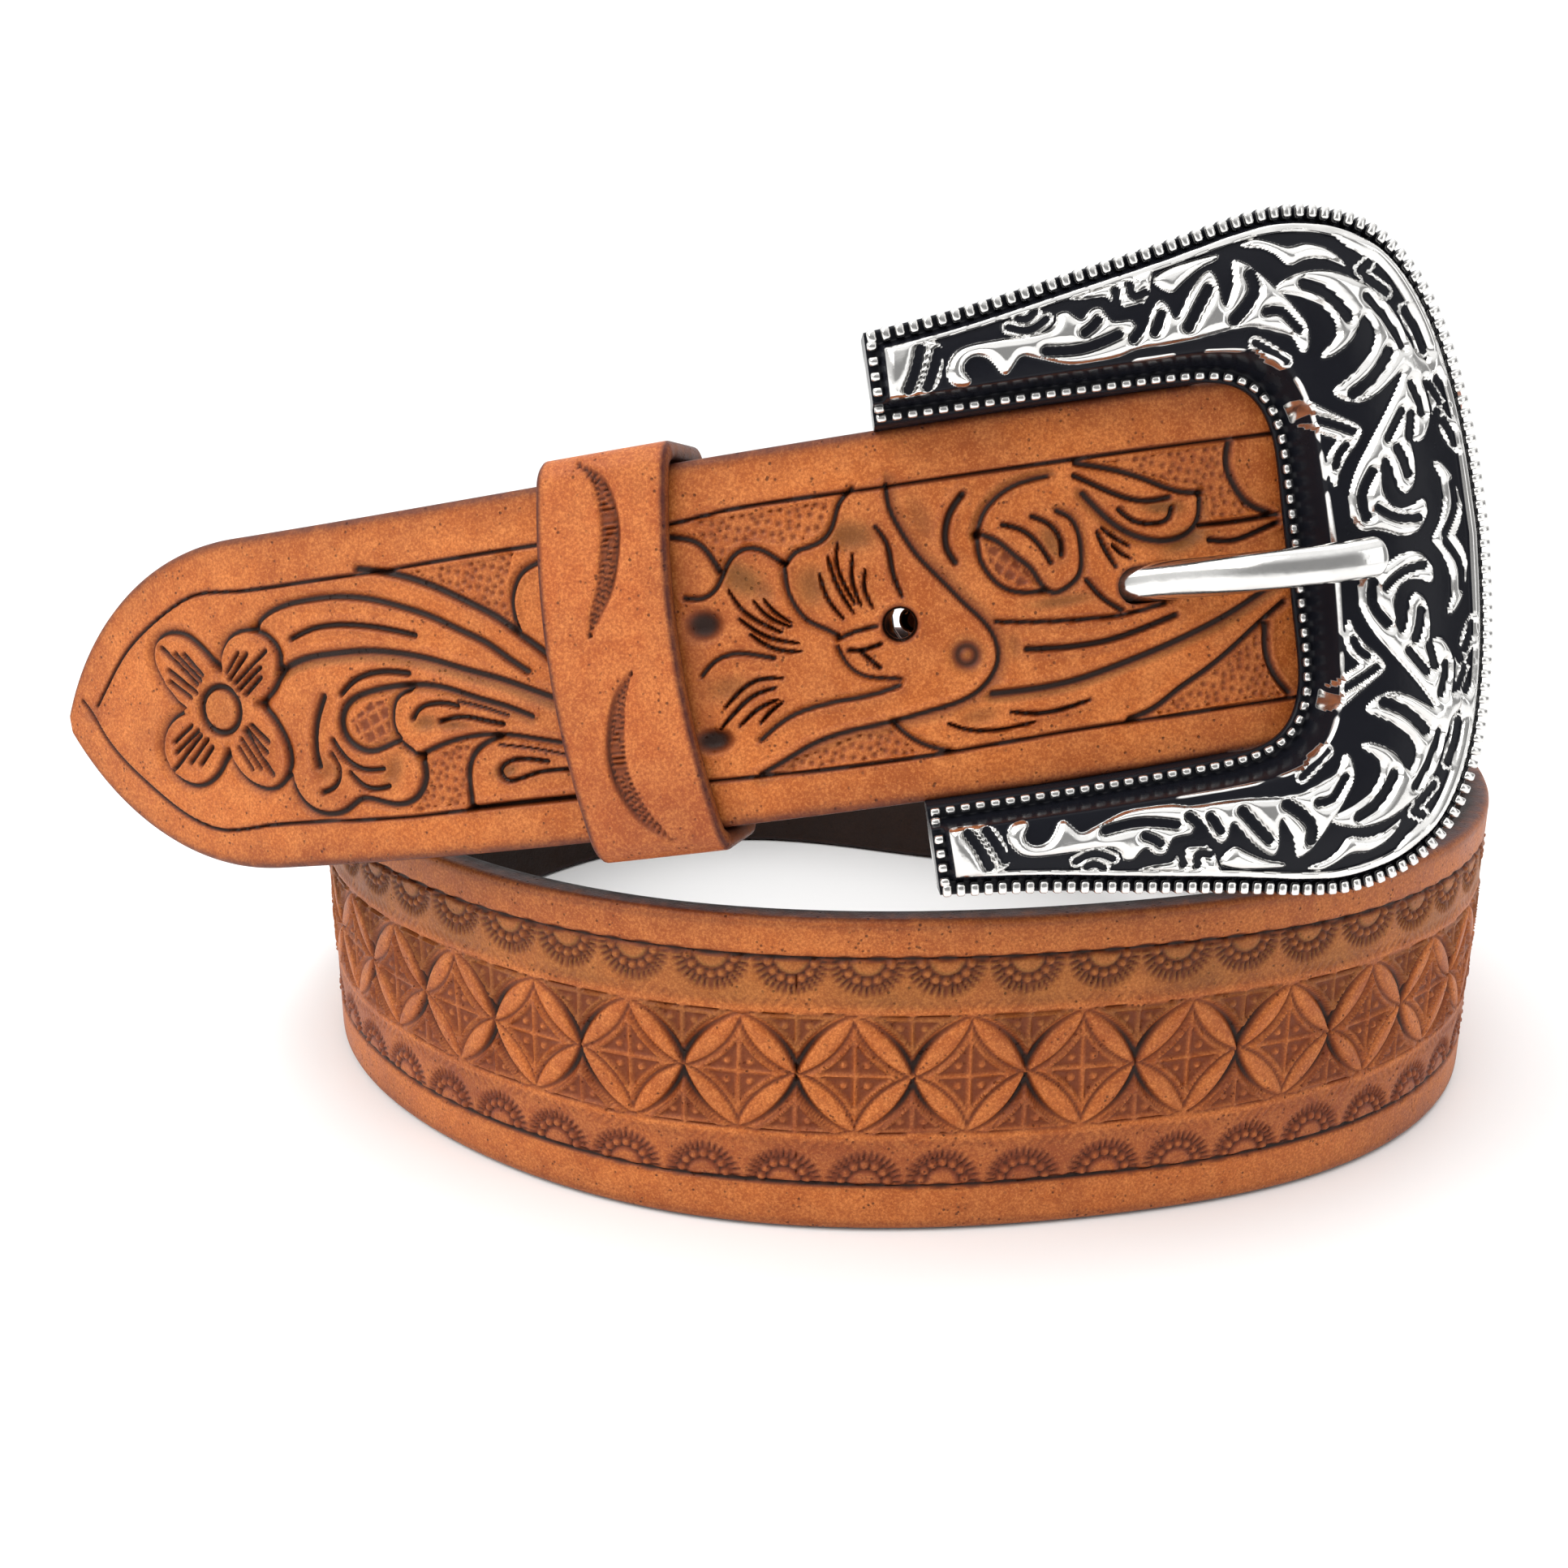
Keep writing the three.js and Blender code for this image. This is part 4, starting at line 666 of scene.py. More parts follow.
# One length of the strap as a closed body: a tooled outer face, burnished round edges, a flat inner face.
def strapLength(name, start, end, step, rows, toolFace, burnished=(0.35, 0.5, 0.75, 1.0)):
    places = np.linspace(start, end, int(round((end - start) / step)) + 1)
    half = halfWidth(places)
    bevel = 0.85
    flatHalf = np.maximum(half - bevel, 0.3)
    shares = np.linspace(-1, 1, rows)
    x = np.repeat(places[:, None], rows, axis=1)
    y = flatHalf[:, None] * shares[None, :]
    tooling = Tooling(x, y)
    toolFace(tooling)
    slow = waver(tooling.x, tooling.y, 13, 5) * 0.05
    level = (tooling.level + slow).reshape(x.shape)
    ends = smooth(flatHalf[:, None] - np.abs(y), 0, 0.6)
    level = level * ends
    x2, y2 = tooling.x.reshape(x.shape), tooling.y.reshape(x.shape)
    edge = [(0.30, -0.04), (0.58, -0.17), (0.78, -0.42), (0.85, -0.8)]
    back = [(0.85, 0.8), (0.78, 0.42), (0.58, 0.17), (0.30, 0.04)]
    innerShares = np.linspace(1, -1, 9)
    columns = []
    tones = {mark: [] for mark in ("antique", "olive", "plum", "edge", "flesh")}

    def addColumn(place, height, outward, **values):
        columns.append((place, height, outward))
        for mark in tones:
            tones[mark].append(np.broadcast_to(values.get(mark, 0.0), place.shape))

    marks = tooling.marks()
    for j in range(rows):
        fromRim = flatHalf - np.abs(y2[:, j])
        rim = 0.3 * np.exp(-(fromRim / 0.35) ** 2) + 0.16 * np.exp(-(fromRim / 2.4) ** 2)
        addColumn(x2[:, j], y2[:, j], face + level[:, j], edge=rim, **{m: marks[m][:, j] for m in marks})
    for (along, drop), tone in zip(edge, burnished):
        addColumn(places, flatHalf + along, face + drop + 0 * places, edge=tone)
    for along, drop in back:
        addColumn(places, flatHalf + along, -face + drop + 0 * places, edge=1.0, flesh=0.9)
    for share in innerShares:
        addColumn(places, flatHalf * share, -face + 0 * places, edge=0.0, flesh=1.0)
    for along, drop in back[::-1]:
        addColumn(places, -flatHalf - along, -face + drop + 0 * places, edge=1.0, flesh=0.9)
    for (along, drop), tone in zip(edge[::-1], burnished[::-1]):
        addColumn(places, -flatHalf - along, face + drop + 0 * places, edge=tone)
    rings = np.stack([placeOn(strapPath.frames(np.clip(place, 0, strapPath.length)), height, outward)
                      for place, height, outward in columns], axis=1)
    piece = sweptPiece(name, rings, marks={mark: np.stack(values, axis=1) for mark, values in tones.items()})
    print("strap length", name, len(piece.data.polygons), "faces")
    return piece


fine = 1.0


# the lattice averaged over each cell of a coarser length
def toolSoft(tooling):
    parts = [Tooling(tooling.x + dx, tooling.y + dy) for dx in (-0.24, 0.0, 0.24) for dy in (-0.13, 0.13)]
    for part in parts:
        toolLattice(part)
    for mark in ("level", "antique", "olive", "plum"):
        setattr(tooling, mark, np.mean([getattr(part, mark) for part in parts], axis=0))


# the holes under the buckle's band and beyond it
def toolRise(tooling):
    toolSoft(tooling)
    for index in (3, 4):
        centre = (belt["firstHoleAt"] + belt["holePitch"] * index, belt["holeRise"])
        tooling.punch(centre, centre, 1.85)


# Takes the space inside a closed run of rings out of a piece.
def cutAway(piece, rings, hardAngle=75):
    cutter = sweptPiece("cutter", rings)
    bpy.ops.object.select_all(action="DESELECT")
    bpy.context.view_layer.objects.active = piece
    piece.select_set(True)
    bpy.ops.object.modifier_add(type="BOOLEAN")
    piece.modifiers[-1].object = cutter
    piece.modifiers[-1].operation = "DIFFERENCE"
    bpy.ops.object.modifier_apply(modifier=piece.modifiers[-1].name)
    bpy.data.objects.remove(cutter)
    bpy.ops.object.shade_smooth_by_angle(angle=math.radians(hardAngle))


tailBurnish = (0.75, 0.85, 0.95, 1.0)
strapPieces = [
    strapLength("strapTail", 0, 79, 0.22 * fine, int(166 / fine), toolTail, tailBurnish),
    strapLength("strapThrough", 79, 150, 0.22 * fine, int(166 / fine), toolTail, tailBurnish),
    strapLength("strapRise", 150, 396, 0.65 * fine, int(68 / fine), toolRise),
    strapLength("strapFrontLeft", 396, 546.5, 0.28 * fine, int(138 / fine), toolLattice),
    strapLength("strapFrontRight", 546.5, 690, 0.28 * fine, int(138 / fine), toolLattice),
    strapLength("strapRound", 690, strapPath.length, 0.65 * fine, int(68 / fine), toolSoft),
]
# the visible hole goes right through, and the fold is slotted for the prong's loop
punched = dict(radius=1.55, top=-0.4, bottom=-2.1)
holeAt = tail.frames(belt["firstHoleAt"] + belt["holePitch"])
turns = np.linspace(0, 2 * math.pi, 33)[:-1]
cutAway(strapPieces[1], np.array([
    [placeOn(holeAt, belt["holeRise"] + punched["radius"] * math.sin(a), level)[0]
     + holeAt[1][0] * punched["radius"] * math.cos(a) for a in turns]
    for level in (punched["top"], punched["bottom"])]))
foldSlot = dict(width=5.6, beforeBar=5.8)
slotHalf = foldSlot["width"] / 2
slotStart, slotEnd = belt["barAt"] - foldSlot["beforeBar"], belt["barAt"] + foldRadius + belt["leather"]
slotRings = []
roundEnd = slotStart + slotHalf * np.array([0.03, 0.25, 0.6, 1])
straightRun = np.linspace(slotStart + slotHalf, slotEnd, 6)[1:]
for place in [*roundEnd, *straightRun]:
    here = tail.frames(place)
    half = math.sqrt(slotHalf ** 2 - max(0, slotStart + slotHalf - place) ** 2)
    deep, shallow = -layerPitch - 2 * foldRadius - belt["leather"], -layerPitch / 2
    slotRings.append([placeOn(here, belt["holeRise"] + side * half, level)[0]
                      for side, level in ((-1, deep), (-1, shallow), (1, shallow), (1, deep))])
cutAway(strapPieces[5], np.array(slotRings))
print("strap modelled")


# The buckle's casting. Rows of its outline run from the end of an arm to the middle of the right band, as
# shares of the frame's and the opening's length and half height.
buckle = dict(length=61.4, halfHeight=34.5, openingLength=40.5, openingHalf=19.95, barInset=5.2, back=0.6,
              armDrop=3.0, field=5.0, dome=1.6, relief=0.5, innerLedge=1.5, outerLedge=4.3,
              earThickness=4.0, earRadius=3.4)
outline = np.array([
    (0, 0.811, 0, 0.965), (0.15, 0.84, 0.2, 0.965), (0.31, 0.887, 0.4, 0.965), (0.47, 0.937, 0.6, 0.962),
    (0.58, 0.978, 0.73, 0.96), (0.67, 1, 0.83, 0.945), (0.75, 0.985, 0.91, 0.9), (0.83, 0.93, 0.965, 0.8),
    (0.895, 0.82, 0.993, 0.65), (0.94, 0.67, 1, 0.5), (0.97, 0.49, 1, 0.35), (0.99, 0.27, 1, 0.18), (1, 0, 1, 0),
])
outlineSpline = Spline(np.arange(len(outline), dtype=float), outline)
frameStart = belt["barAt"] - buckle["barInset"]


def bandEdges(share):
    rows = outlineSpline.at(np.asarray(share) * (len(outline) - 1))
    inner = np.stack((frameStart + rows[:, 2] * buckle["openingLength"], rows[:, 3] * buckle["openingHalf"]), 1)
    outer = np.stack((frameStart + rows[:, 0] * buckle["length"], rows[:, 1] * buckle["halfHeight"]), 1)
    return inner, outer


# Scrollwork of the upper half as (place, height); the lower half mirrors it. Raised leaves are outlines,
# recesses are cut out of them, and slots are runs of points with a width.
leafOutlines = [
    [(107.4, 26.4), (107.3, 24), (107.3, 21.6), (107.5, 21.2), (109, 21.2), (111.6, 21.3), (112.5, 22.8), (113, 25.2),
     (112.3, 26.2), (110.5, 26.4), (107.8, 26.6)],
    [(113, 22.1), (112.8, 23), (113.2, 24), (114, 24.9), (115.2, 25.3), (118, 25.4), (120.5, 25.3), (122.8, 25.4),
     (123.6, 26.1), (123.7, 27), (124.8, 27.2), (125.6, 26.3), (126.2, 26), (127, 27), (128, 27.1), (128.5, 26.1),
     (129, 25.4), (130.8, 25.5), (131.1, 24.8), (131.9, 24.6), (132.5, 25.5), (133.6, 27.1), (134.4, 26.4),
     (134.8, 25), (135.3, 25), (136.6, 27.2), (138, 28.7), (138.8, 29.2), (139.4, 28.6), (139.6, 27.2),
     (139.7, 25.9), (140.1, 25.3), (140.8, 26.8), (141.1, 28.2), (141.1, 29.9), (142.4, 29.5), (143.6, 28.3),
     (145.3, 26.5), (146.2, 25.5), (147.1, 24.3), (147.9, 23.2), (148.2, 22.2), (148.2, 20.8), (147.7, 20),
     (147.1, 20.4), (146.6, 21.8), (144.4, 22.6), (142.8, 23.2), (140.8, 23.3), (137.4, 22.8), (134, 22.6),
     (131, 22.6), (129.2, 22), (124.8, 21.9), (123.2, 22.4), (121.6, 23), (120, 23.6), (119.2, 22.6), (118.6, 21.9),
     (118, 22), (117.4, 23.1), (116.8, 23.8), (116, 24.1), (115.2, 24), (114.6, 23.4), (114.6, 22.8), (115.2, 21.9),
     (114.9, 21.4), (114, 21.4), (113.4, 21.6)],
    [(133.2, 29.1), (135, 29.9), (138, 30.4), (140, 30.6), (140.1, 30), (138, 29.4), (136, 28.1), (134.9, 27.2),
     (133.5, 28.3)],
    [(124.8, 28.2), (127, 28.6), (129, 29), (131, 29.4), (133.6, 30.1), (133.2, 28.8), (132.9, 27.6), (132.2, 26.9),
     (131.9, 26.1), (130.6, 25.9), (129.4, 26.1), (129.1, 27.4), (128.6, 28), (126.4, 27.9)],
    [(142.2, 31.1), (143.6, 31.7), (145.2, 31.2), (147, 30.3), (149, 30.7), (151, 30), (152.4, 28.8), (153, 27.7),
     (151.6, 28.5), (150, 29), (148.4, 29), (146.8, 28.4), (145.8, 29.7), (144.4, 30.6), (142.8, 30.8)],
    [(144.6, 26.3), (146, 27.3), (148, 27.85), (150, 27.9), (152, 27.4), (154, 26.4), (155.6, 25.2), (157, 23.9),
     (158, 22.2), (158.8, 20.2), (159.8, 18.4), (160.8, 17.9), (161.4, 16.8), (160.9, 15.9), (159.8, 16), (160.3, 14.6),
     (160.6, 12.9), (160.2, 11.3), (159.4, 10.1), (158.4, 9.9), (157.6, 10.4), (157.9, 9.2), (158.1, 7.2),
     (157.6, 5.5), (156.6, 4.9), (155.9, 5.6), (155.5, 7.6), (155, 8.9), (154.4, 8.8), (154.2, 7.2), (154.3, 5.2),
     (155, 4), (156.2, 3.5), (157.4, 3.7), (158.4, 4.4), (159, 4), (158.9, 2.4), (157.6, 0.9), (155.6, 0.8),
     (154.2, 1.5), (153, 1.9), (151.6, 1.9), (150.8, 3.2), (150.6, 5.4), (151.6, 8), (153.4, 10.7), (155, 12.9),
     (156.6, 15.2), (157.9, 17.3), (155.8, 15.9), (154.2, 14.9), (152.8, 14.5), (151.4, 14.8), (150, 15.8),
     (150.4, 16.4), (152.2, 17.4), (154, 18.8), (155, 20.4), (155, 21.8), (154.2, 23), (153.6, 22.7), (153.2, 21.5),
     (152, 20.2), (150.2, 19.3), (149.1, 19.3), (149.3, 19.9), (150.2, 20.5), (151, 21.4), (150.9, 22.8),
     (149.8, 24.3), (148, 25.4), (146.4, 25.9)],
    [(146.8, 15.8), (147.6, 13.2), (148.8, 11.9), (150.3, 11.3), (149.1, 10.1), (148.8, 8.4), (149.6, 6.2),
     (150.1, 8.1), (151, 9.5), (152.2, 10.7), (152.9, 12.1), (150.7, 13.5), (147.5, 15.7)],
    [(160.2, 7.8), (161, 7.8), (162.2, 6.7), (163.2, 5), (163.6, 3), (163.2, 1.3), (162.4, 0.2), (162, -0.5),
     (159.6, -0.5), (159, 0), (160.6, 2), (161.2, 4), (161.1, 6), (160.5, 7)],
    [(160.8, 18.2), (162.4, 19.5), (163.2, 17), (164, 13), (164.4, 10), (164.6, 7.8), (163.4, 8.3), (162.2, 9.6),
     (161.4, 11.2), (160.8, 12), (160.9, 13.5), (160.4, 15), (160.9, 16)],
    [(156, 28.4), (157.2, 27.2), (158.8, 24.8), (160.2, 22), (161, 19.8), (161.4, 18.4), (162.8, 18.6), (162, 21.5),
     (160.6, 24.8), (158.8, 27.8), (157, 29.8), (155.6, 30.6), (153.6, 31.2), (151.8, 31.5), (152.5, 30.6), (154, 29.3),
     (155, 28.8)],
]
slots = [
    ([(109.2, 21.9), (110.1, 23.6), (110.8, 25.5)], 0.95), ([(111, 21.9), (111.8, 23.5), (112.4, 25)], 0.95),
    ([(126.2, 24.8), (126.9, 25.2), (127.6, 25.8)], 0.85), ([(122.4, 23.6), (126, 23.4), (129.4, 24.2)], 0.9),
    ([(129.7, 28.4), (129.8, 26.5), (131.8, 26.5)], 0.75), ([(131.1, 28.7), (131.3, 27.6), (132.4, 27.8)], 0.75),
    ([(130.8, 23.6), (131.8, 24.8), (132.2, 26)], 0.9), ([(132.9, 24), (133.3, 24.7), (133.7, 25.5)], 0.95),
    ([(136.2, 24), (137.4, 25.8), (138.5, 27.3)], 1.05),
    ([(140.8, 24.1), (142.2, 25.4), (143, 26.8), (142.8, 28.1)], 1.15),
    ([(144, 24.5), (145.4, 24.4), (146.4, 23.4), (147.2, 22.4)], 0.8),
    ([(148.1, 26.7), (149.6, 26), (151.2, 24.6), (152.3, 23)], 1.1),
    ([(154.6, 24.7), (156.4, 22.4), (157.9, 19.6)], 0.85), ([(152.1, 15.5), (154.2, 16.8), (156.3, 19.1)], 1.1),
    ([(155.3, 10.7), (156.2, 12), (157.1, 13.2)], 0.85), ([(158.5, 15.7), (159.1, 14.2), (159.5, 12.7)], 0.9),
    ([(158.1, 12.7), (157.9, 11.7), (157.7, 10.6)], 1.0), ([(156.2, 9.6), (156.8, 8.2), (157.1, 6.9)], 1.0),
    ([(153.3, 7.6), (152.1, 5.4), (152.3, 3.3)], 1.0), ([(153.6, 4), (155.4, 2.8), (158, 2.4)], 0.85),
    ([(162.5, 5.3), (162.5, 3), (160.9, 0.4)], 0.95), ([(148, 13.7), (149.8, 12.9), (151.7, 11.9)], 0.8),
    ([(149.8, 8.7), (150.3, 9.9), (151, 10.6)], 0.75), ([(161.9, 15.9), (162.6, 14.9), (163.2, 13.9)], 0.95),
    ([(160.9, 15.4), (161.4, 14.6), (161.9, 13.7)], 0.95), ([(162.8, 13), (163.1, 12.6), (163.4, 12.2)], 0.85),
    ([(161.5, 12.6), (161.2, 11.5)], 1.0), ([(162.3, 11.6), (162.9, 10.5), (163.4, 9.4)], 1.05),
]
# slots that stand alone in the recess behind a narrow raised rim
rimmedSlots = [
    ([(120.2, 27), (121, 26.9), (121.8, 27.4)], 0.7), ([(119.2, 26.3), (121, 25.8), (122.8, 26.6)], 0.7),
    ([(142.8, 21.7), (144.4, 20.6), (145.8, 19.5)], 0.7), ([(159, 22.9), (160, 20.9), (160.6, 19)], 1.15),
    ([(154.4, 27.3), (155.6, 28)], 0.9), ([(155, 26.5), (157, 25)], 1.0),
]


# corners cut twice, so an outline bends smoothly through its points
def rounded(outlinePoints):
    points = np.array(outlinePoints, float)
    for i in range(2):
        after = np.roll(points, -1, axis=0)
        points = np.stack((points * 0.78 + after * 0.22, points * 0.22 + after * 0.78), axis=1).reshape(-1, 2)
    return points


# distance inside an outline, negative outside
def depthInside(points, x, y):
    nearest = np.full(x.shape, 99.0)
    for a, b in zip(points, np.roll(points, -1, axis=0)):
        way = b - a
        t = np.clip(((x - a[0]) * way[0] + (y - a[1]) * way[1]) / max(way @ way, 1e-9), 0, 1)
        nearest = np.minimum(nearest, np.hypot(x - a[0] - t * way[0], y - a[1] - t * way[1]))
    return np.where(inside(points, x, y), nearest, -nearest)


def reliefOf(place, height):
    x, y = place.ravel(), np.abs(height.ravel())
    metal, slotDepth = np.full(x.size, -9.0), np.full(x.size, -9.0)
    for outlinePoints in leafOutlines:
        points = rounded(outlinePoints)
        low, high = points.min(axis=0) - 1, points.max(axis=0) + 1
        chosen = np.flatnonzero((x > low[0]) & (x < high[0]) & (y > low[1]) & (y < high[1]))
        metal[chosen] = np.maximum(metal[chosen], depthInside(points, x[chosen], y[chosen]))
    for group, rim in ((slots, 0), (rimmedSlots, 0.36)):
        for points, width in group:
            curve, run = smoothCurve(points, 0.25)
            low, high = curve.min(axis=0) - 2, curve.max(axis=0) + 2
            chosen = np.flatnonzero((x > low[0]) & (x < high[0]) & (y > low[1]) & (y < high[1]))
            distance = np.full(len(chosen), 9.0)
            for px, py in curve:
                distance = np.minimum(distance, np.hypot(x[chosen] - px, y[chosen] - py))
            slotDepth[chosen] = np.maximum(slotDepth[chosen], width / 2 - distance)
            if rim:
                metal[chosen] = np.maximum(metal[chosen], width / 2 + rim - distance)
    return np.minimum(metal, -slotDepth).reshape(place.shape)


def buckleBand():
    fineStep = 0.22 * fine
    half = np.linspace(0, 1, 400)
    inner, outer = bandEdges(half)
    middle = (inner + outer) / 2
    run = chordKnots(middle)
    count = int(run[-1] / fineStep)
    shares = np.interp(np.linspace(0, run[-1], count), run, half)
    shares = np.concatenate((shares, shares[-2::-1]))
    sides = np.concatenate((np.ones(count), -np.ones(count - 1)))
    inner, outer = bandEdges(shares)
    inner[:, 1] *= sides
    outer[:, 1] *= sides
    width = np.linalg.norm(outer - inner, axis=1)
    across = np.linspace(0, 1, int(100 / fine))
    flat = inner[:, None] + (outer - inner)[:, None] * across[None, :, None]
    place, height = flat[..., 0], flat[..., 1]
    fromInner = across[None, :] * width[:, None]
    fromOuter = (1 - across[None, :]) * width[:, None]
    alongArm = np.concatenate((np.linspace(0, run[-1], count), np.linspace(0, run[-1], count)[-2::-1]))[:, None]
    edge = np.minimum(fromInner, fromOuter)
    metal = reliefOf(place, height)
    widths = width[:, None]
    field = buckle["field"] + buckle["dome"] * np.sin(np.pi * across)[None, :] * widths / 20.9
    grown = smooth(widths, 7, 20)
    slope = 0.75 + 0.8 * grown
    inField = smooth(fromInner, 1.5, 1.9) * smooth(fromOuter, 2.0, 2.3) * smooth(alongArm, 1.5, 1.8)
    raised = smooth(metal, -0.04, 0.3) * inField
    # polished hollow beside the inner beads and polished line beside the outer ones
    thin = np.exp(-((fromInner - 2.3 - 0.5 * grown) / 0.17) ** 2)
    hollow = thin * smooth(waver(place, height, 2.2, 6), -0.45, -0.1) * smooth(alongArm, 24, 27)
    strip = smooth(fromOuter, 1.95, 2.1) * (1 - smooth(fromOuter, 2.35 + 0.5 * grown, 2.55 + 0.5 * grown))
    strip = strip * smooth(alongArm, 1.5, 1.7)
    level = field + buckle["relief"] * np.maximum(raised, 0.8 * strip) + 0.3 * smooth(metal, 0.1, 0.9) * raised
    rise = smooth(fromInner, 1.35, 1.4 + slope)
    level = buckle["innerLedge"] + (level - buckle["innerLedge"]) * rise
    level = level - (level - buckle["outerLedge"]) * (1 - smooth(fromOuter, 1.3, 2.0))
    level = level - (level - buckle["outerLedge"]) * (1 - smooth(alongArm, 1.0, 1.5)) * rise
    level = level - 0.25 * (1 - smooth(edge, 0.0, 0.25))
    polished = np.maximum(np.maximum(smooth(metal, -0.05, 0.08) * inField, strip), hollow)
    enamelAndShade = 1 - polished
    back = buckle["back"] - buckle["armDrop"] * (1 - smooth(shares, 0.33, 0.43))
    columns, dark = [], []
    for j in range(len(across)):
        columns.append((place[:, j], height[:, j], level[:, j]))
        dark.append(enamelAndShade[:, j])
    rows = [(1, 0.55), (1, 0.05), (0.985, 0), (0.5, 0), (0.015, 0), (0, 0.05), (0, 0.55)]
    lean = 0.55 * (1 - smooth(shares, 0.33, 0.43)) / width
    for at, share in rows:
        point = inner + (outer - inner) * (at - lean[:, None] * (at < 0.5) * (1 - share))
        column = 0 if at < 0.5 else len(across) - 1
        outward = back + 0.25 * (at in (0, 1)) + (level[:, column] - back) * share
        columns.append((point[:, 0], point[:, 1], outward))
        # painted shade: the inner and outer walls take the black enamel colour for the dark they reflect
        dark.append(np.full(len(shares), float(at in (0, 1))))
    rings = np.stack([onBow(*column) for column in columns], axis=1)
    return sweptPiece("buckleBand", rings, hardAngle=60, marks=dict(enamelAndShade=np.stack(dark, axis=1)))


# Rows of small square beads set on the two ledges, one mesh for all of them.
def beadRow(name, spots):
    bpy.ops.object.select_all(action="DESELECT")
    bpy.ops.mesh.primitive_cube_add(size=1)
    bead = bpy.context.object
    bpy.ops.object.mode_set(mode="EDIT")
    bpy.ops.mesh.select_all(action="SELECT")
    bpy.ops.mesh.bevel(offset=0.24, segments=2, affect="EDGES")
    bpy.ops.object.mode_set(mode="OBJECT")
    base = np.array([v.co[:] for v in bead.data.vertices])
    sides = 1 - smooth(base[:, 2], 0.1, 0.42)
    faces = [tuple(p.vertices) for p in bead.data.polygons]
    bpy.data.objects.remove(bead)
    verts, polys = [], []
    for place, height, level, heading, size in spots:
        c, s = math.cos(heading), math.sin(heading)
        a, b = base[:, 0] * size[0], base[:, 1] * size[1]
        points = onBow(place + a * c - b * s, height + a * s + b * c, level + base[:, 2] * size[2])
        polys += [tuple(i + len(verts) * len(base) for i in face) for face in faces]
        verts.append((points + toFrame) / 1000)
    mesh = bpy.data.meshes.new(name)
    mesh.from_pydata(np.concatenate(verts), [], polys)
    sideMark = mesh.attributes.new("enamelAndShade", "FLOAT", "POINT")
    sideMark.data.foreach_set("value", np.tile(sides, len(spots)).astype(np.float32))
    piece = bpy.data.objects.new(name, mesh)
    bpy.context.collection.objects.link(piece)
    bpy.ops.object.select_all(action="DESELECT")
    bpy.context.view_layer.objects.active = piece
    piece.select_set(True)
    bpy.ops.object.mode_set(mode="EDIT")
    bpy.ops.mesh.select_all(action="SELECT")
    bpy.ops.mesh.normals_make_consistent(inside=False)
    bpy.ops.object.mode_set(mode="OBJECT")
    bpy.ops.object.shade_smooth_by_angle(angle=math.radians(50))
    return piece


beads = dict(outerPitch=1.35, innerPitch=1.5, outerSize=(0.86, 1.35, 1.5), innerSize=(0.98, 0.86, 1.1),
             outerInset=0.66, innerInset=0.62, outerLevel=4.75, innerLevel=1.75)


def beadSpots():
    spots = []
    half = np.linspace(0, 1, 800)
    inner, outer = bandEdges(half)
    across = (outer - inner) / np.linalg.norm(outer - inner, axis=1)[:, None]
    for line, pitch, size, level in (
        (outer - across * beads["outerInset"], beads["outerPitch"], beads["outerSize"], beads["outerLevel"]),
        (inner + across * beads["innerInset"], beads["innerPitch"], beads["innerSize"], beads["innerLevel"]),
    ):
        run = chordKnots(line)
        count = int(round(run[-1] / pitch))
        where = np.linspace(0.5 * pitch, run[-1], count)
        for i, at in enumerate(where):
            x, y = np.interp(at, run, line[:, 0]), np.interp(at, run, line[:, 1])
            k = min(np.searchsorted(run, at), len(run) - 2)
            way = line[k + 1] - line[k]
            heading = math.atan2(way[1], way[0])
            for side in (1, -1):
                if side < 0 and i == count - 1:
                    continue
                spots.append((x, side * y, level, side * heading, size))
    first, last = inner[0], outer[0]
    for i in range(1, 6):
        point = first + (last - first) * (i / 6)
        level = beads["innerLevel"] + (beads["outerLevel"] - beads["innerLevel"]) * min(1, (i - 0.6) / 1.2)
        for side in (1, -1):
            spots.append((point[0] + 0.6, side * point[1], level, math.pi / 2, (0.86, 0.95, 1.4)))
    return spots


# Ears and bar behind the arms.
def barAndEars():
    bpy.ops.object.select_all(action="DESELECT")
    parts = []
    reach = float((onBow(belt["barAt"], 0, 0)[0] - barCentre) @ barFrame[3][0])
    for side in (1, -1):
        angles = np.linspace(math.pi, 2 * math.pi, 17)
        profile = [(buckle["earRadius"] * math.cos(a), buckle["earRadius"] * math.sin(a)) for a in angles]
        profile += [(buckle["earRadius"], reach), (-buckle["earRadius"], reach)]
        levels = [(0, 0.88), (0.35, 1), (buckle["earThickness"] - 0.35, 1), (buckle["earThickness"], 0.88)]
        rings = []
        for depth, scale in levels:
            height = side * (buckle["openingHalf"] + depth)
            rings.append([barCentre + barFrame[1][0] * px * scale + barFrame[3][0] * py * (scale if py < 0 else 1)
                          + barFrame[2][0] * height for px, py in profile])
        parts.append(sweptPiece(f"ear{1 if side > 0 else 2}", np.array(rings), hardAngle=40))
    angles = np.linspace(0, 2 * math.pi, 25)[:-1]
    rings = []
    for height in np.linspace(-buckle["openingHalf"] - 1, buckle["openingHalf"] + 1, 24):
        rings.append([barCentre + barFrame[2][0] * height
                      + belt["barDiameter"] / 2 * (barFrame[1][0] * math.cos(a) + barFrame[3][0] * math.sin(a))
                      for a in angles])
    parts.append(sweptPiece("bar", np.array(rings), hardAngle=40))
    return parts


prong = dict(width=4.0, thickness=3.1, wire=2.6, tipReaches=151.9, rise=-0.1, tipRise=-0.6, emerges=0.8,
             levelRun=0.3, liftsAt=0.62, sag=0.85, midRise=0.66, restHeight=9.3)


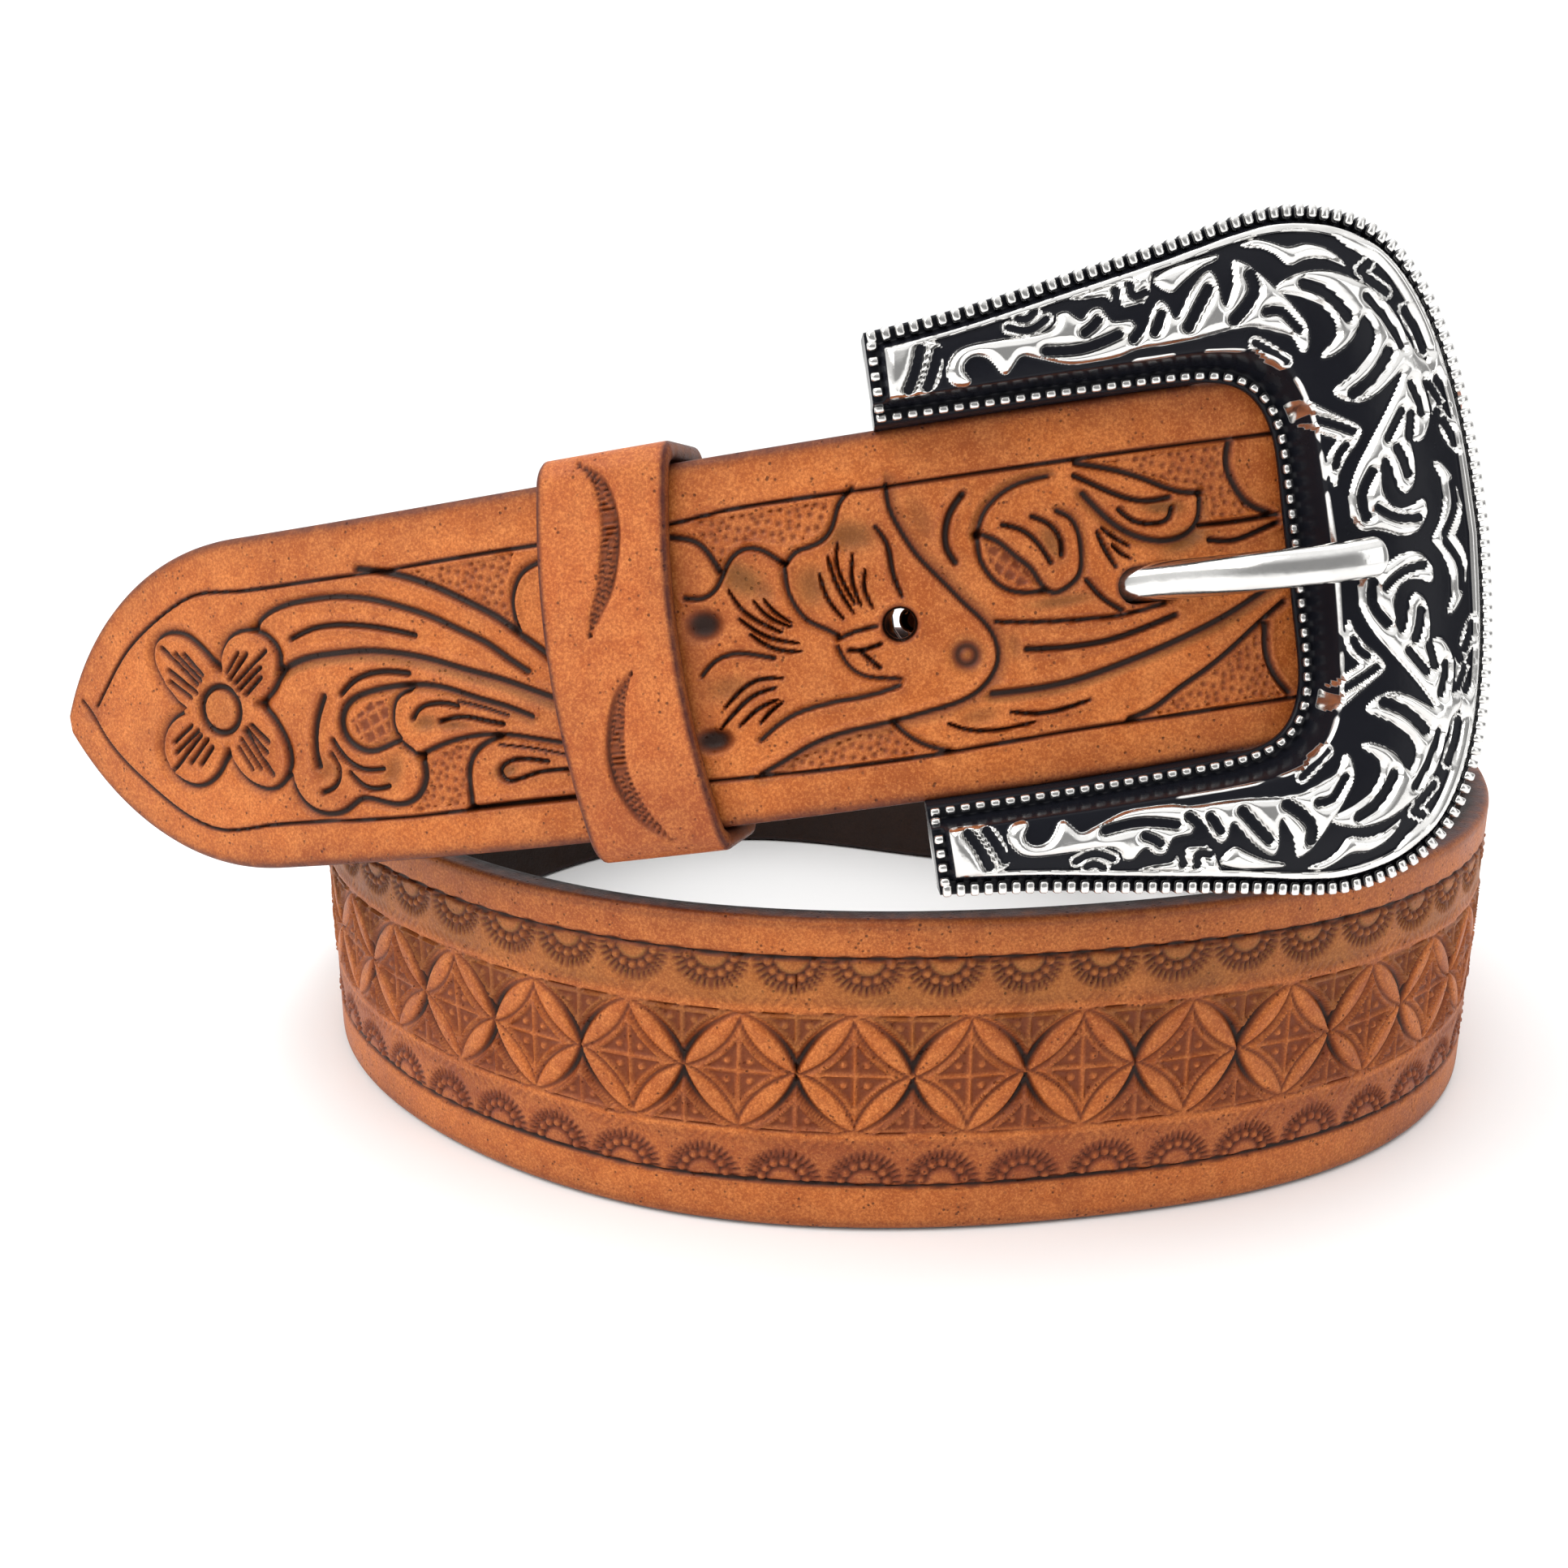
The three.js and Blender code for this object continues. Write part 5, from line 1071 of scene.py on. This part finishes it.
def prongArm():
    loopRadius = belt["barDiameter"] / 2 + belt["surfaceGap"] + prong["wire"] / 2
    centre = barCentre + barFrame[2][0] * belt["holeRise"]
    top = centre + barFrame[3][0] * loopRadius
    reach = holeInUseAt - belt["barAt"]
    bandStart = frameStart + buckle["openingLength"]
    under = -face - layerPitch - foldRadius + loopRadius
    rise = prong["rise"]
    line = np.array([
        top, top + barFrame[1][0] * prong["levelRun"] * reach,
        onBow(belt["barAt"] + prong["liftsAt"] * reach, rise, under * prong["sag"])[0],
        onBow(holeInUseAt - prong["emerges"], rise, -face)[0],
        onBow((holeInUseAt + bandStart) / 2, (rise + prong["tipRise"]) / 2, prong["restHeight"] * prong["midRise"])[0],
        onBow(bandStart + prong["thickness"] / 2, prong["tipRise"], prong["restHeight"])[0],
        onBow(prong["tipReaches"], prong["tipRise"], prong["restHeight"] - 0.1)[0],
    ])
    knots = np.concatenate(([0], np.cumsum(np.linalg.norm(np.diff(line, axis=0), axis=1) ** 0.75)))
    spline = Spline(knots, line)
    stations = np.concatenate((np.linspace(0, 0.965, 110), 1 - 0.035 * np.cos(np.linspace(0, math.pi / 2, 14)[1:-1])))
    middles = spline.at(stations * knots[-1])
    tangents = spline.at(stations * knots[-1] + 0.01) - spline.at(stations * knots[-1] - 0.01)
    tangents /= np.linalg.norm(tangents, axis=1)[:, None]
    up = bowFrame[2][0]
    angles = np.linspace(0, 2 * math.pi, 41)[:-1]
    rings = []
    for i, share in enumerate(stations):
        outward = np.cross(tangents[i], up)
        outward /= np.linalg.norm(outward)
        nose = math.sqrt(max(0.02, 1 - (max(0, share - 0.965) / 0.035) ** 2))
        ring = []
        for a in angles:
            c, s = math.cos(a), math.sin(a)
            wide = math.copysign(abs(c) ** 0.75, c) * prong["width"] / 2 * nose
            flatter = 0.55 if s < 0 else 1
            thick = math.copysign(abs(s) ** 0.85, s) * prong["thickness"] / 2 * flatter * (0.35 + 0.65 * nose)
            ring.append(middles[i] + up * wide + outward * thick)
        rings.append(ring)
    return sweptPiece("prongArm", np.array(rings), hardAngle=60)


def prongLoop():
    loopRadius = belt["barDiameter"] / 2 + belt["surfaceGap"] + prong["wire"] / 2
    centre = barCentre + barFrame[2][0] * belt["holeRise"]
    rings = []
    for turn in np.linspace(0, 2 * math.pi, 49)[:-1]:
        away = barFrame[1][0] * math.cos(turn) + barFrame[3][0] * math.sin(turn)
        rings.append([centre + away * (loopRadius + prong["wire"] / 2 * math.cos(a) * 0.96)
                      + barFrame[2][0] * prong["wire"] / 2 * math.sin(a) * 1.1
                      for a in np.linspace(0, 2 * math.pi, 21)[:-1]])
    return sweptPiece("prongLoop", np.array(rings), cyclic=True, hardAngle=60)


keeper = dict(place=78.7, width=14.2, thickness=2.0, corner=2.4, ease=0.55, bow=2.2)
keeperCrescents = [
    [(76.4, 20.4), (78.5, 18.5), (79.35, 15.5), (79.35, 13), (78.7, 10), (77.6, 7), (76.3, 5), (74.9, 2.8)],
    [(78.2, -1.6), (76.6, -3.5), (75.5, -6), (74.8, -9), (74.8, -12), (75.8, -15), (77.5, -17.5), (79.9, -19.5)],
]


def keeperLoop():
    side = belt["strapWidth"] / 2 + belt["surfaceGap"] + keeper["thickness"]
    high = face + belt["surfaceGap"] + keeper["thickness"]
    low = -face - 2 * layerPitch - belt["surfaceGap"] - keeper["thickness"]
    corner = keeper["corner"]
    path = []
    step = 0.28 * fine

    def straight(start, end, normal, gap):
        for t in np.linspace(0, 1, max(2, int(np.linalg.norm(np.subtract(end, start)) / gap)), endpoint=False):
            path.append((start[0] + (end[0] - start[0]) * t, start[1] + (end[1] - start[1]) * t, *normal))

    def bendRound(cx, cy, start):
        for t in np.linspace(0, math.pi / 2, 9, endpoint=False):
            a = start - t
            path.append((cx + corner * math.cos(a), cy + corner * math.sin(a), math.cos(a), math.sin(a)))

    straight((-side + corner, high), (side - corner, high), (0, 1), step)
    bendRound(side - corner, high - corner, math.pi / 2)
    straight((side, high - corner), (side, low + corner), (1, 0), 0.5)
    bendRound(side - corner, low + corner, 0)
    straight((side - corner, low), (-side + corner, low), (0, -1), 0.7)
    bendRound(-side + corner, low + corner, -math.pi / 2)
    straight((-side, low + corner), (-side, high - corner), (-1, 0), 0.5)
    bendRound(-side + corner, high - corner, math.pi)
    path = np.array(path)
    half = keeper["width"] / 2 - keeper["ease"]
    shares = np.linspace(-1, 1, int(58 / fine))
    bow = -keeper["bow"] * np.clip(1 - (path[:, 0] / 21) ** 2, 0, 1) * (path[:, 3] > -0.5)
    x = keeper["place"] + bow[:, None] + (half * shares)[None, :]
    y = np.repeat(path[:, :1], len(shares), axis=1)
    front = (path[:, 3] > 0.5)[:, None]
    tooling = Tooling(x, y)
    for side, points in zip((-1, 1), keeperCrescents):
        curve, run = smoothCurve(points)
        chosen = tooling.near(curve, 3)
        distance, sideOf, share = tooling.measure(curve, run, chosen)
        swell = np.sin(np.pi * np.clip(share, 0.02, 0.98)) ** 0.5
        ticks = 0.5 + 0.5 * np.cos(share * chordKnots(np.array(points, float))[-1] * 2 * math.pi / 0.68)
        within = (sideOf * side > 0) * smooth(distance, 0.0, 0.2) * (1 - smooth(distance / (2.1 * swell), 0.75, 1))
        line = np.exp(-(distance / 0.28) ** 2) * swell
        tooling.level[chosen] -= 0.16 * within + 0.36 * within * ticks + 0.4 * line
        tone = np.maximum(within * (0.25 + 0.6 * ticks), 0.85 * line)
        tooling.antique[chosen] = np.maximum(tooling.antique[chosen], tone)
    level = tooling.level.reshape(x.shape) * front
    marks = tooling.marks()
    bottoms = {mark: [] for mark in ("antique", "olive", "plum", "edge", "flesh")}
    columns = []

    def addColumn(place, depth, **values):
        columns.append((place, depth))
        for mark in bottoms:
            bottoms[mark].append(np.broadcast_to(values.get(mark, 0.0), (len(path),)))

    for j in range(len(shares)):
        near = keeper["width"] / 2 - abs(half * shares[j])
        addColumn(x[:, j], level[:, j], edge=0.85 * math.exp(-((near - 0.4) / 0.3) ** 2),
                  antique=marks["antique"][:, j] * front[:, 0], plum=0.35 * smooth(-path[:, 0], 4, 20))
    edge = [(0.2, -0.06), (0.4, -0.24), (0.52, -0.5), (0.55, -0.85)]
    centre = keeper["place"] + bow
    wall = (1.0, 0.9, 0.5, 0.3)
    for (along, drop), worn in zip(edge, wall):
        addColumn(centre + half + along, drop, edge=worn, flesh=0.5 * (1 - worn))
    for (along, drop), worn in zip(edge[::-1], wall[::-1]):
        addColumn(centre + half + along, -keeper["thickness"] - drop, edge=worn, flesh=0.5)
    for share in (0.66, 0.33, 0, -0.33, -0.66):
        addColumn(centre + half * share, -keeper["thickness"], flesh=1.0)
    for (along, drop), worn in zip(edge, wall):
        addColumn(centre - half - along, -keeper["thickness"] - drop, edge=worn, flesh=0.5)
    for (along, drop), worn in zip(edge[::-1], wall[::-1]):
        addColumn(centre - half - along, drop, edge=worn, flesh=0.5 * (1 - worn))
    rings = []
    for place, depth in columns:
        frames = tail.frames(place)
        rings.append(placeOn(frames, path[:, 0] + path[:, 2] * depth, path[:, 1] + path[:, 3] * depth))
    rings = np.stack(rings, axis=1)
    return sweptPiece("keeperLoop", rings, cyclic=True,
                      marks={mark: np.stack(v, axis=1) for mark, v in bottoms.items()})


screw = dict(places=(65.5, 94.5), head=9.0, post=5.0, headThickness=1.0, slotWidth=1.1, slotDepth=0.5)


def screwPiece(name, place):
    here = tail.frames(place)
    top = -layerPitch + belt["leather"] / 2 - belt["surfaceGap"] / 2
    bottom = -2 * layerPitch - belt["leather"] / 2 - belt["surfaceGap"]
    r, p, t = screw["head"] / 2, screw["post"] / 2, screw["headThickness"]
    profile = [(0.02, bottom - t), (0.55 * r, bottom - t * 0.98), (0.8 * r, bottom - t * 0.88),
               (0.95 * r, bottom - t * 0.55), (r, bottom - 0.25), (r, bottom), (p, bottom), (p, top - t), (r, top - t), (r, top - 0.3),
               (0.9 * r, top), (0.02, top)]
    rings = []
    for turn in np.linspace(0, 2 * math.pi, 49)[:-1]:
        rings.append([placeOn(here, radius * math.cos(turn), level)[0] + here[1][0] * radius * math.sin(turn)
                      for radius, level in profile])
    piece = sweptPiece(name, np.array(rings), cyclic=True, hardAngle=40)
    # slot across the head that shows behind the flap
    bpy.ops.object.select_all(action="DESELECT")
    bpy.ops.mesh.primitive_cube_add(size=1)
    cutter = bpy.context.object
    middle, along, up, out = (v[0] for v in here)
    corners = np.array([v.co[:] for v in cutter.data.vertices])
    depth = bottom - t
    points = (middle + np.outer(corners[:, 0] * screw["head"] * 1.2, along * 0.8 + up * 0.6)
              + np.outer(corners[:, 1] * screw["slotWidth"], up * 0.8 - along * 0.6)
              + np.outer(depth + corners[:, 2] * 2 * screw["slotDepth"], out))
    cutter.data.vertices.foreach_set("co", ((points + toFrame) / 1000).astype(np.float32).ravel())
    bpy.ops.object.select_all(action="DESELECT")
    bpy.context.view_layer.objects.active = piece
    piece.select_set(True)
    bpy.ops.object.modifier_add(type="BOOLEAN")
    piece.modifiers[-1].object = cutter
    piece.modifiers[-1].operation = "DIFFERENCE"
    bpy.ops.object.modifier_apply(modifier=piece.modifiers[-1].name)
    bpy.data.objects.remove(cutter)
    bpy.ops.object.shade_smooth_by_angle(angle=math.radians(40))
    return piece


framePieces = [buckleBand(), beadRow("rimBeads", beadSpots())] + barAndEars()
prongPieces = [prongArm(), prongLoop()]
keeperPieces = [keeperLoop()]
screwPieces = [screwPiece(f"foldScrew{i + 1}", place) for i, place in enumerate(screw["places"])]
print("metal pieces and keeper modelled")


# Arithmetic on shader sockets.
class Value:
    def __init__(self, look, socket):
        self.look, self.socket = look, socket

    def __add__(self, other):
        return self.look.maths("ADD", self, other)

    def __radd__(self, other):
        return self.look.maths("ADD", other, self)

    def __sub__(self, other):
        return self.look.maths("SUBTRACT", self, other)

    def __rsub__(self, other):
        return self.look.maths("SUBTRACT", other, self)

    def __mul__(self, other):
        return self.look.maths("MULTIPLY", self, other)

    def __rmul__(self, other):
        return self.look.maths("MULTIPLY", other, self)

    def __pow__(self, other):
        return self.look.maths("POWER", self, other)


def shade(red, green, blue):
    parts = [v / 255 for v in (red, green, blue)]
    return tuple(v / 12.92 if v < 0.04045 else ((v + 0.055) / 1.055) ** 2.4 for v in parts) + (1.0,)


class Look:
    def __init__(self, name, world=False):
        self.material = bpy.data.worlds.new(name) if world else bpy.data.materials.new(name)
        self.material.use_nodes = True
        self.tree = self.material.node_tree
        self.tree.nodes.clear()

    def put(self, socket, value):
        if isinstance(value, Value):
            self.tree.links.new(value.socket, socket)
        else:
            socket.default_value = value

    def node(self, kind, settings=None, sockets=None):
        node = self.tree.nodes.new("ShaderNode" + kind)
        for key, value in (settings or {}).items():
            setattr(node, key, value)
        for key, value in (sockets or {}).items():
            self.put(node.inputs[key], value)
        return node

    def maths(self, operation, *terms, clamp=False):
        node = self.node("Math", dict(operation=operation, use_clamp=clamp), dict(enumerate(terms)))
        return Value(self, node.outputs[0])

    def ramp(self, value, low, high):
        node = self.node("MapRange", dict(interpolation_type="SMOOTHSTEP"),
                         {"Value": value, "From Min": low, "From Max": high})
        return Value(self, node.outputs[0])

    def mix(self, factor, first, second):
        node = self.node("Mix", dict(data_type="RGBA"), {0: factor, 6: first, 7: second})
        return Value(self, node.outputs[2])

    def mark(self, name):
        node = self.node("Attribute", dict(attribute_name=name, attribute_type="GEOMETRY"))
        return Value(self, node.outputs["Fac"])

    def place(self):
        return Value(self, self.node("TexCoord").outputs["Object"])

    def noise(self, scale, detail=3.0, roughness=0.5, distortion=0.0):
        node = self.node("TexNoise", {}, {"Vector": self.place(), "Scale": scale, "Detail": detail,
                                          "Roughness": roughness, "Distortion": distortion})
        return Value(self, node.outputs["Fac"])

    def cells(self, scale, randomness=1.0):
        node = self.node("TexVoronoi", {}, {"Vector": self.place(), "Scale": scale, "Randomness": randomness})
        return Value(self, node.outputs["Distance"])

    def finish(self, height, heightScale, **sockets):
        bump = self.node("Bump", {}, {"Strength": 1.0, "Distance": heightScale, "Height": height})
        shader = self.node("BsdfPrincipled", {}, {key.replace("_", " "): value for key, value in sockets.items()})
        self.tree.links.new(bump.outputs[0], shader.inputs["Normal"])
        output = self.node("OutputMaterial")
        self.tree.links.new(shader.outputs[0], output.inputs[0])
        return self.material


# stain and cut also paint shade: the halo round cuts, the pressed bevels, the keeper's shadow and the floors of holes
leather = dict(
    tan=shade(186, 101, 42), deepTan=shade(142, 68, 26), paleTan=shade(216, 136, 74), pore=shade(60, 24, 10),
    stainAndShade=shade(104, 44, 16), cut=shade(20, 8, 4), olive=shade(94, 72, 28), plum=shade(88, 34, 32),
    edge=shade(58, 20, 22), inner=shade(7, 4, 4), roughness=0.42, grain=0.00012,
)


def leatherLook(name, base, deep):
    look = Look(name)
    antique, olive, plum = look.mark("antique"), look.mark("olive"), look.mark("plum")
    edge, flesh = look.mark("edge"), look.mark("flesh")
    blotch = look.ramp(look.noise(75, 4, 0.6), 0.36, 0.64)
    cloud = look.ramp(look.noise(320, 4, 0.65), 0.36, 0.66)
    fineGrain = look.noise(3200, 4, 0.75)
    dots = look.cells(1300)
    pores = (1 - look.ramp(dots, 0.1, 0.27)) * look.ramp(look.noise(420, 3, 0.6), 0.46, 0.62)
    colour = look.mix(blotch * 0.7, base, deep)
    colour = look.mix(cloud * 0.4, colour, leather["paleTan"])
    colour = look.mix(look.ramp(fineGrain, 0.42, 0.62) * 0.6, colour, deep)
    colour = look.mix(look.ramp(fineGrain, 0.5, 0.34) * 0.5, colour, leather["paleTan"])
    colour = look.mix(pores * 0.75, colour, leather["pore"])
    colour = look.mix(look.maths("MULTIPLY", olive, 0.8, clamp=True), colour, leather["olive"])
    colour = look.mix(look.maths("MULTIPLY", plum, 0.75, clamp=True), colour, leather["plum"])
    worn = look.maths("MULTIPLY", edge * 0.85, look.ramp(look.noise(500, 3, 0.6), 0.2, 0.6) * 0.35 + 0.75, clamp=True)
    colour = look.mix(worn, colour, leather["edge"])
    # antique dye, with painted shade round cuts, on bevels, beside the keeper and in holes
    colour = look.mix(look.ramp(antique, 0.0, 0.55) * 0.85, colour, leather["stainAndShade"])
    colour = look.mix(look.ramp(antique, 0.42, 1.0) * 0.96, colour, leather["cut"])
    colour = look.mix(look.maths("MULTIPLY", flesh, 0.97, clamp=True), colour, leather["inner"])
    fibre = look.noise(1400, 5, 0.7)
    rough = leather["roughness"] + 0.12 * cloud + 0.1 * pores + 0.16 * flesh
    height = fineGrain * 0.35 - pores * 1.0 + fibre * flesh * 1.6 + look.noise(4200, 2, 0.5) * 0.35
    return look.finish(height, leather["grain"], Base_Color=colour, Roughness=rough, Specular_IOR_Level=0.24)


nickel = dict(metal=(0.78, 0.77, 0.75, 1), shadow=(0.45, 0.44, 0.43, 1), enamelAndShade=(0.008, 0.0085, 0.012, 1),
              roughness=0.13)


def nickelLook(name, withEnamel):
    look = Look(name)
    smear = look.ramp(look.noise(240, 4, 0.6), 0.35, 0.7)
    fineGrain = look.noise(2600, 3, 0.6)
    colour = look.mix(smear * 0.3, nickel["metal"], nickel["shadow"])
    rough = nickel["roughness"] + 0.07 * smear
    height = fineGrain * 0.25 + look.noise(700, 2, 0.5)
    if not withEnamel:
        return look.finish(height, 0.00002, Base_Color=colour, Roughness=rough, Metallic=1.0)
    # black enamel, and on the casting's walls painted shade in the enamel colour
    dark = look.ramp(look.mark("enamelAndShade"), 0.35, 0.65)
    colour = look.mix(dark, colour, nickel["enamelAndShade"])
    return look.finish(height, 0.00003, Base_Color=colour, Roughness=rough + 0.08 * dark, Metallic=1 - dark,
                       Specular_IOR_Level=0.12)


looks = {
    "strap_leather": leatherLook("strapLeather", leather["tan"], leather["deepTan"]),
    "keeper_leather": leatherLook("keeperLeather", shade(180, 95, 44), shade(142, 68, 30)),
    "buckle_nickel": nickelLook("buckleNickel", True),
    "prong_nickel": nickelLook("prongNickel", False),
    "screw_nickel": nickelLook("screwNickel", False),
}
for node, slot, pieces in (
    ("strap", "strap_leather", strapPieces), ("keeper", "keeper_leather", keeperPieces),
    ("buckle_frame", "buckle_nickel", framePieces), ("prong", "prong_nickel", prongPieces),
    ("fold_screw_1", "screw_nickel", screwPieces[:1]), ("fold_screw_2", "screw_nickel", screwPieces[1:]),
):
    for piece in pieces:
        piece.data.materials.append(looks[slot])
        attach(piece, "root")
        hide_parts(node)
made = [piece for group in (strapPieces, keeperPieces, framePieces, prongPieces, screwPieces) for piece in group]
triangles = sum(len(face.vertices) - 2 for piece in made for face in piece.data.polygons)
print("materials set,", triangles, "triangles")

# Floor, light and camera.
studio = dict(world=1.2, front=0.34, key=5.3, fill=0.7, top=1.2)
bpy.ops.object.select_all(action="DESELECT")
bpy.ops.mesh.primitive_plane_add(size=6, location=(0, 0, -0.0003))
floor = bpy.context.object
floor.name = "floor"
floorLook = Look("floorPaper")
grey = floorLook.noise(3, 2, 0.5)
paperTone = floorLook.mix(grey, (0.985, 0.985, 0.985, 1), (0.97, 0.97, 0.97, 1))
floor.data.materials.append(floorLook.finish(grey, 0.00001, Base_Color=paperTone, Roughness=0.6))


def softBox(name, spot, target, size, power, tint):
    bpy.ops.object.light_add(type="AREA", location=spot)
    lamp = bpy.context.object
    lamp.name = name
    lamp.data.shape = "RECTANGLE"
    lamp.data.size, lamp.data.size_y = size
    lamp.data.energy = power
    lamp.data.color = tint
    way = np.subtract(target, spot)
    flat = math.hypot(way[0], way[1])
    lamp.rotation_euler = (math.atan2(flat, -way[2]), 0, math.atan2(way[1], way[0]) - math.pi / 2)
    return lamp


middle = (0, -0.03, 0.05)
softBox("keySoftbox", (-0.5, -0.4, 0.62), middle, (0.9, 0.7), studio["key"], (1, 0.98, 0.96))
softBox("fillSoftbox", (0.75, -0.5, 0.3), middle, (0.35, 0.5), studio["fill"], (1, 1, 1))
softBox("topSoftbox", (0.05, 0.1, 0.8), middle, (0.8, 0.5), studio["top"], (1, 1, 1))

# white studio, dimmer in front of the belt, so the metal shows dark and light
sky = Look("studioSky", world=True)
way = sky.node("SeparateXYZ", {}, {"Vector": Value(sky, sky.node("TexCoord").outputs["Generated"])})
behind = sky.ramp(Value(sky, way.outputs["Y"]), 0.05, 0.6)
above = sky.ramp(Value(sky, way.outputs["Z"]), 0.3, 0.75)
beside = sky.ramp(Value(sky, way.outputs["X"]), -0.45, -0.9) * 0.6
glow = sky.maths("MAXIMUM", sky.maths("MAXIMUM", behind, above), beside)
seen = Value(sky, sky.node("LightPath").outputs["Is Camera Ray"])
glow = sky.maths("MAXIMUM", glow, seen) * (studio["world"] - studio["front"]) + studio["front"]
backdrop = sky.node("Background", {}, {"Color": (1, 1, 1, 1), "Strength": glow})
sky.tree.links.new(backdrop.outputs[0], sky.node("OutputWorld").inputs[0])
bpy.context.scene.world = sky.material

bpy.ops.object.camera_add(location=(-0.005205, -0.241091, 0.108821), rotation=(math.radians(90 - 17.698), 0, 0))
camera = bpy.context.object
camera.data.sensor_width = 36
camera.data.lens = 39.864
camera.data.clip_start = 0.01
bpy.context.scene.camera = camera
bpy.context.scene.view_settings.view_transform = "Standard"
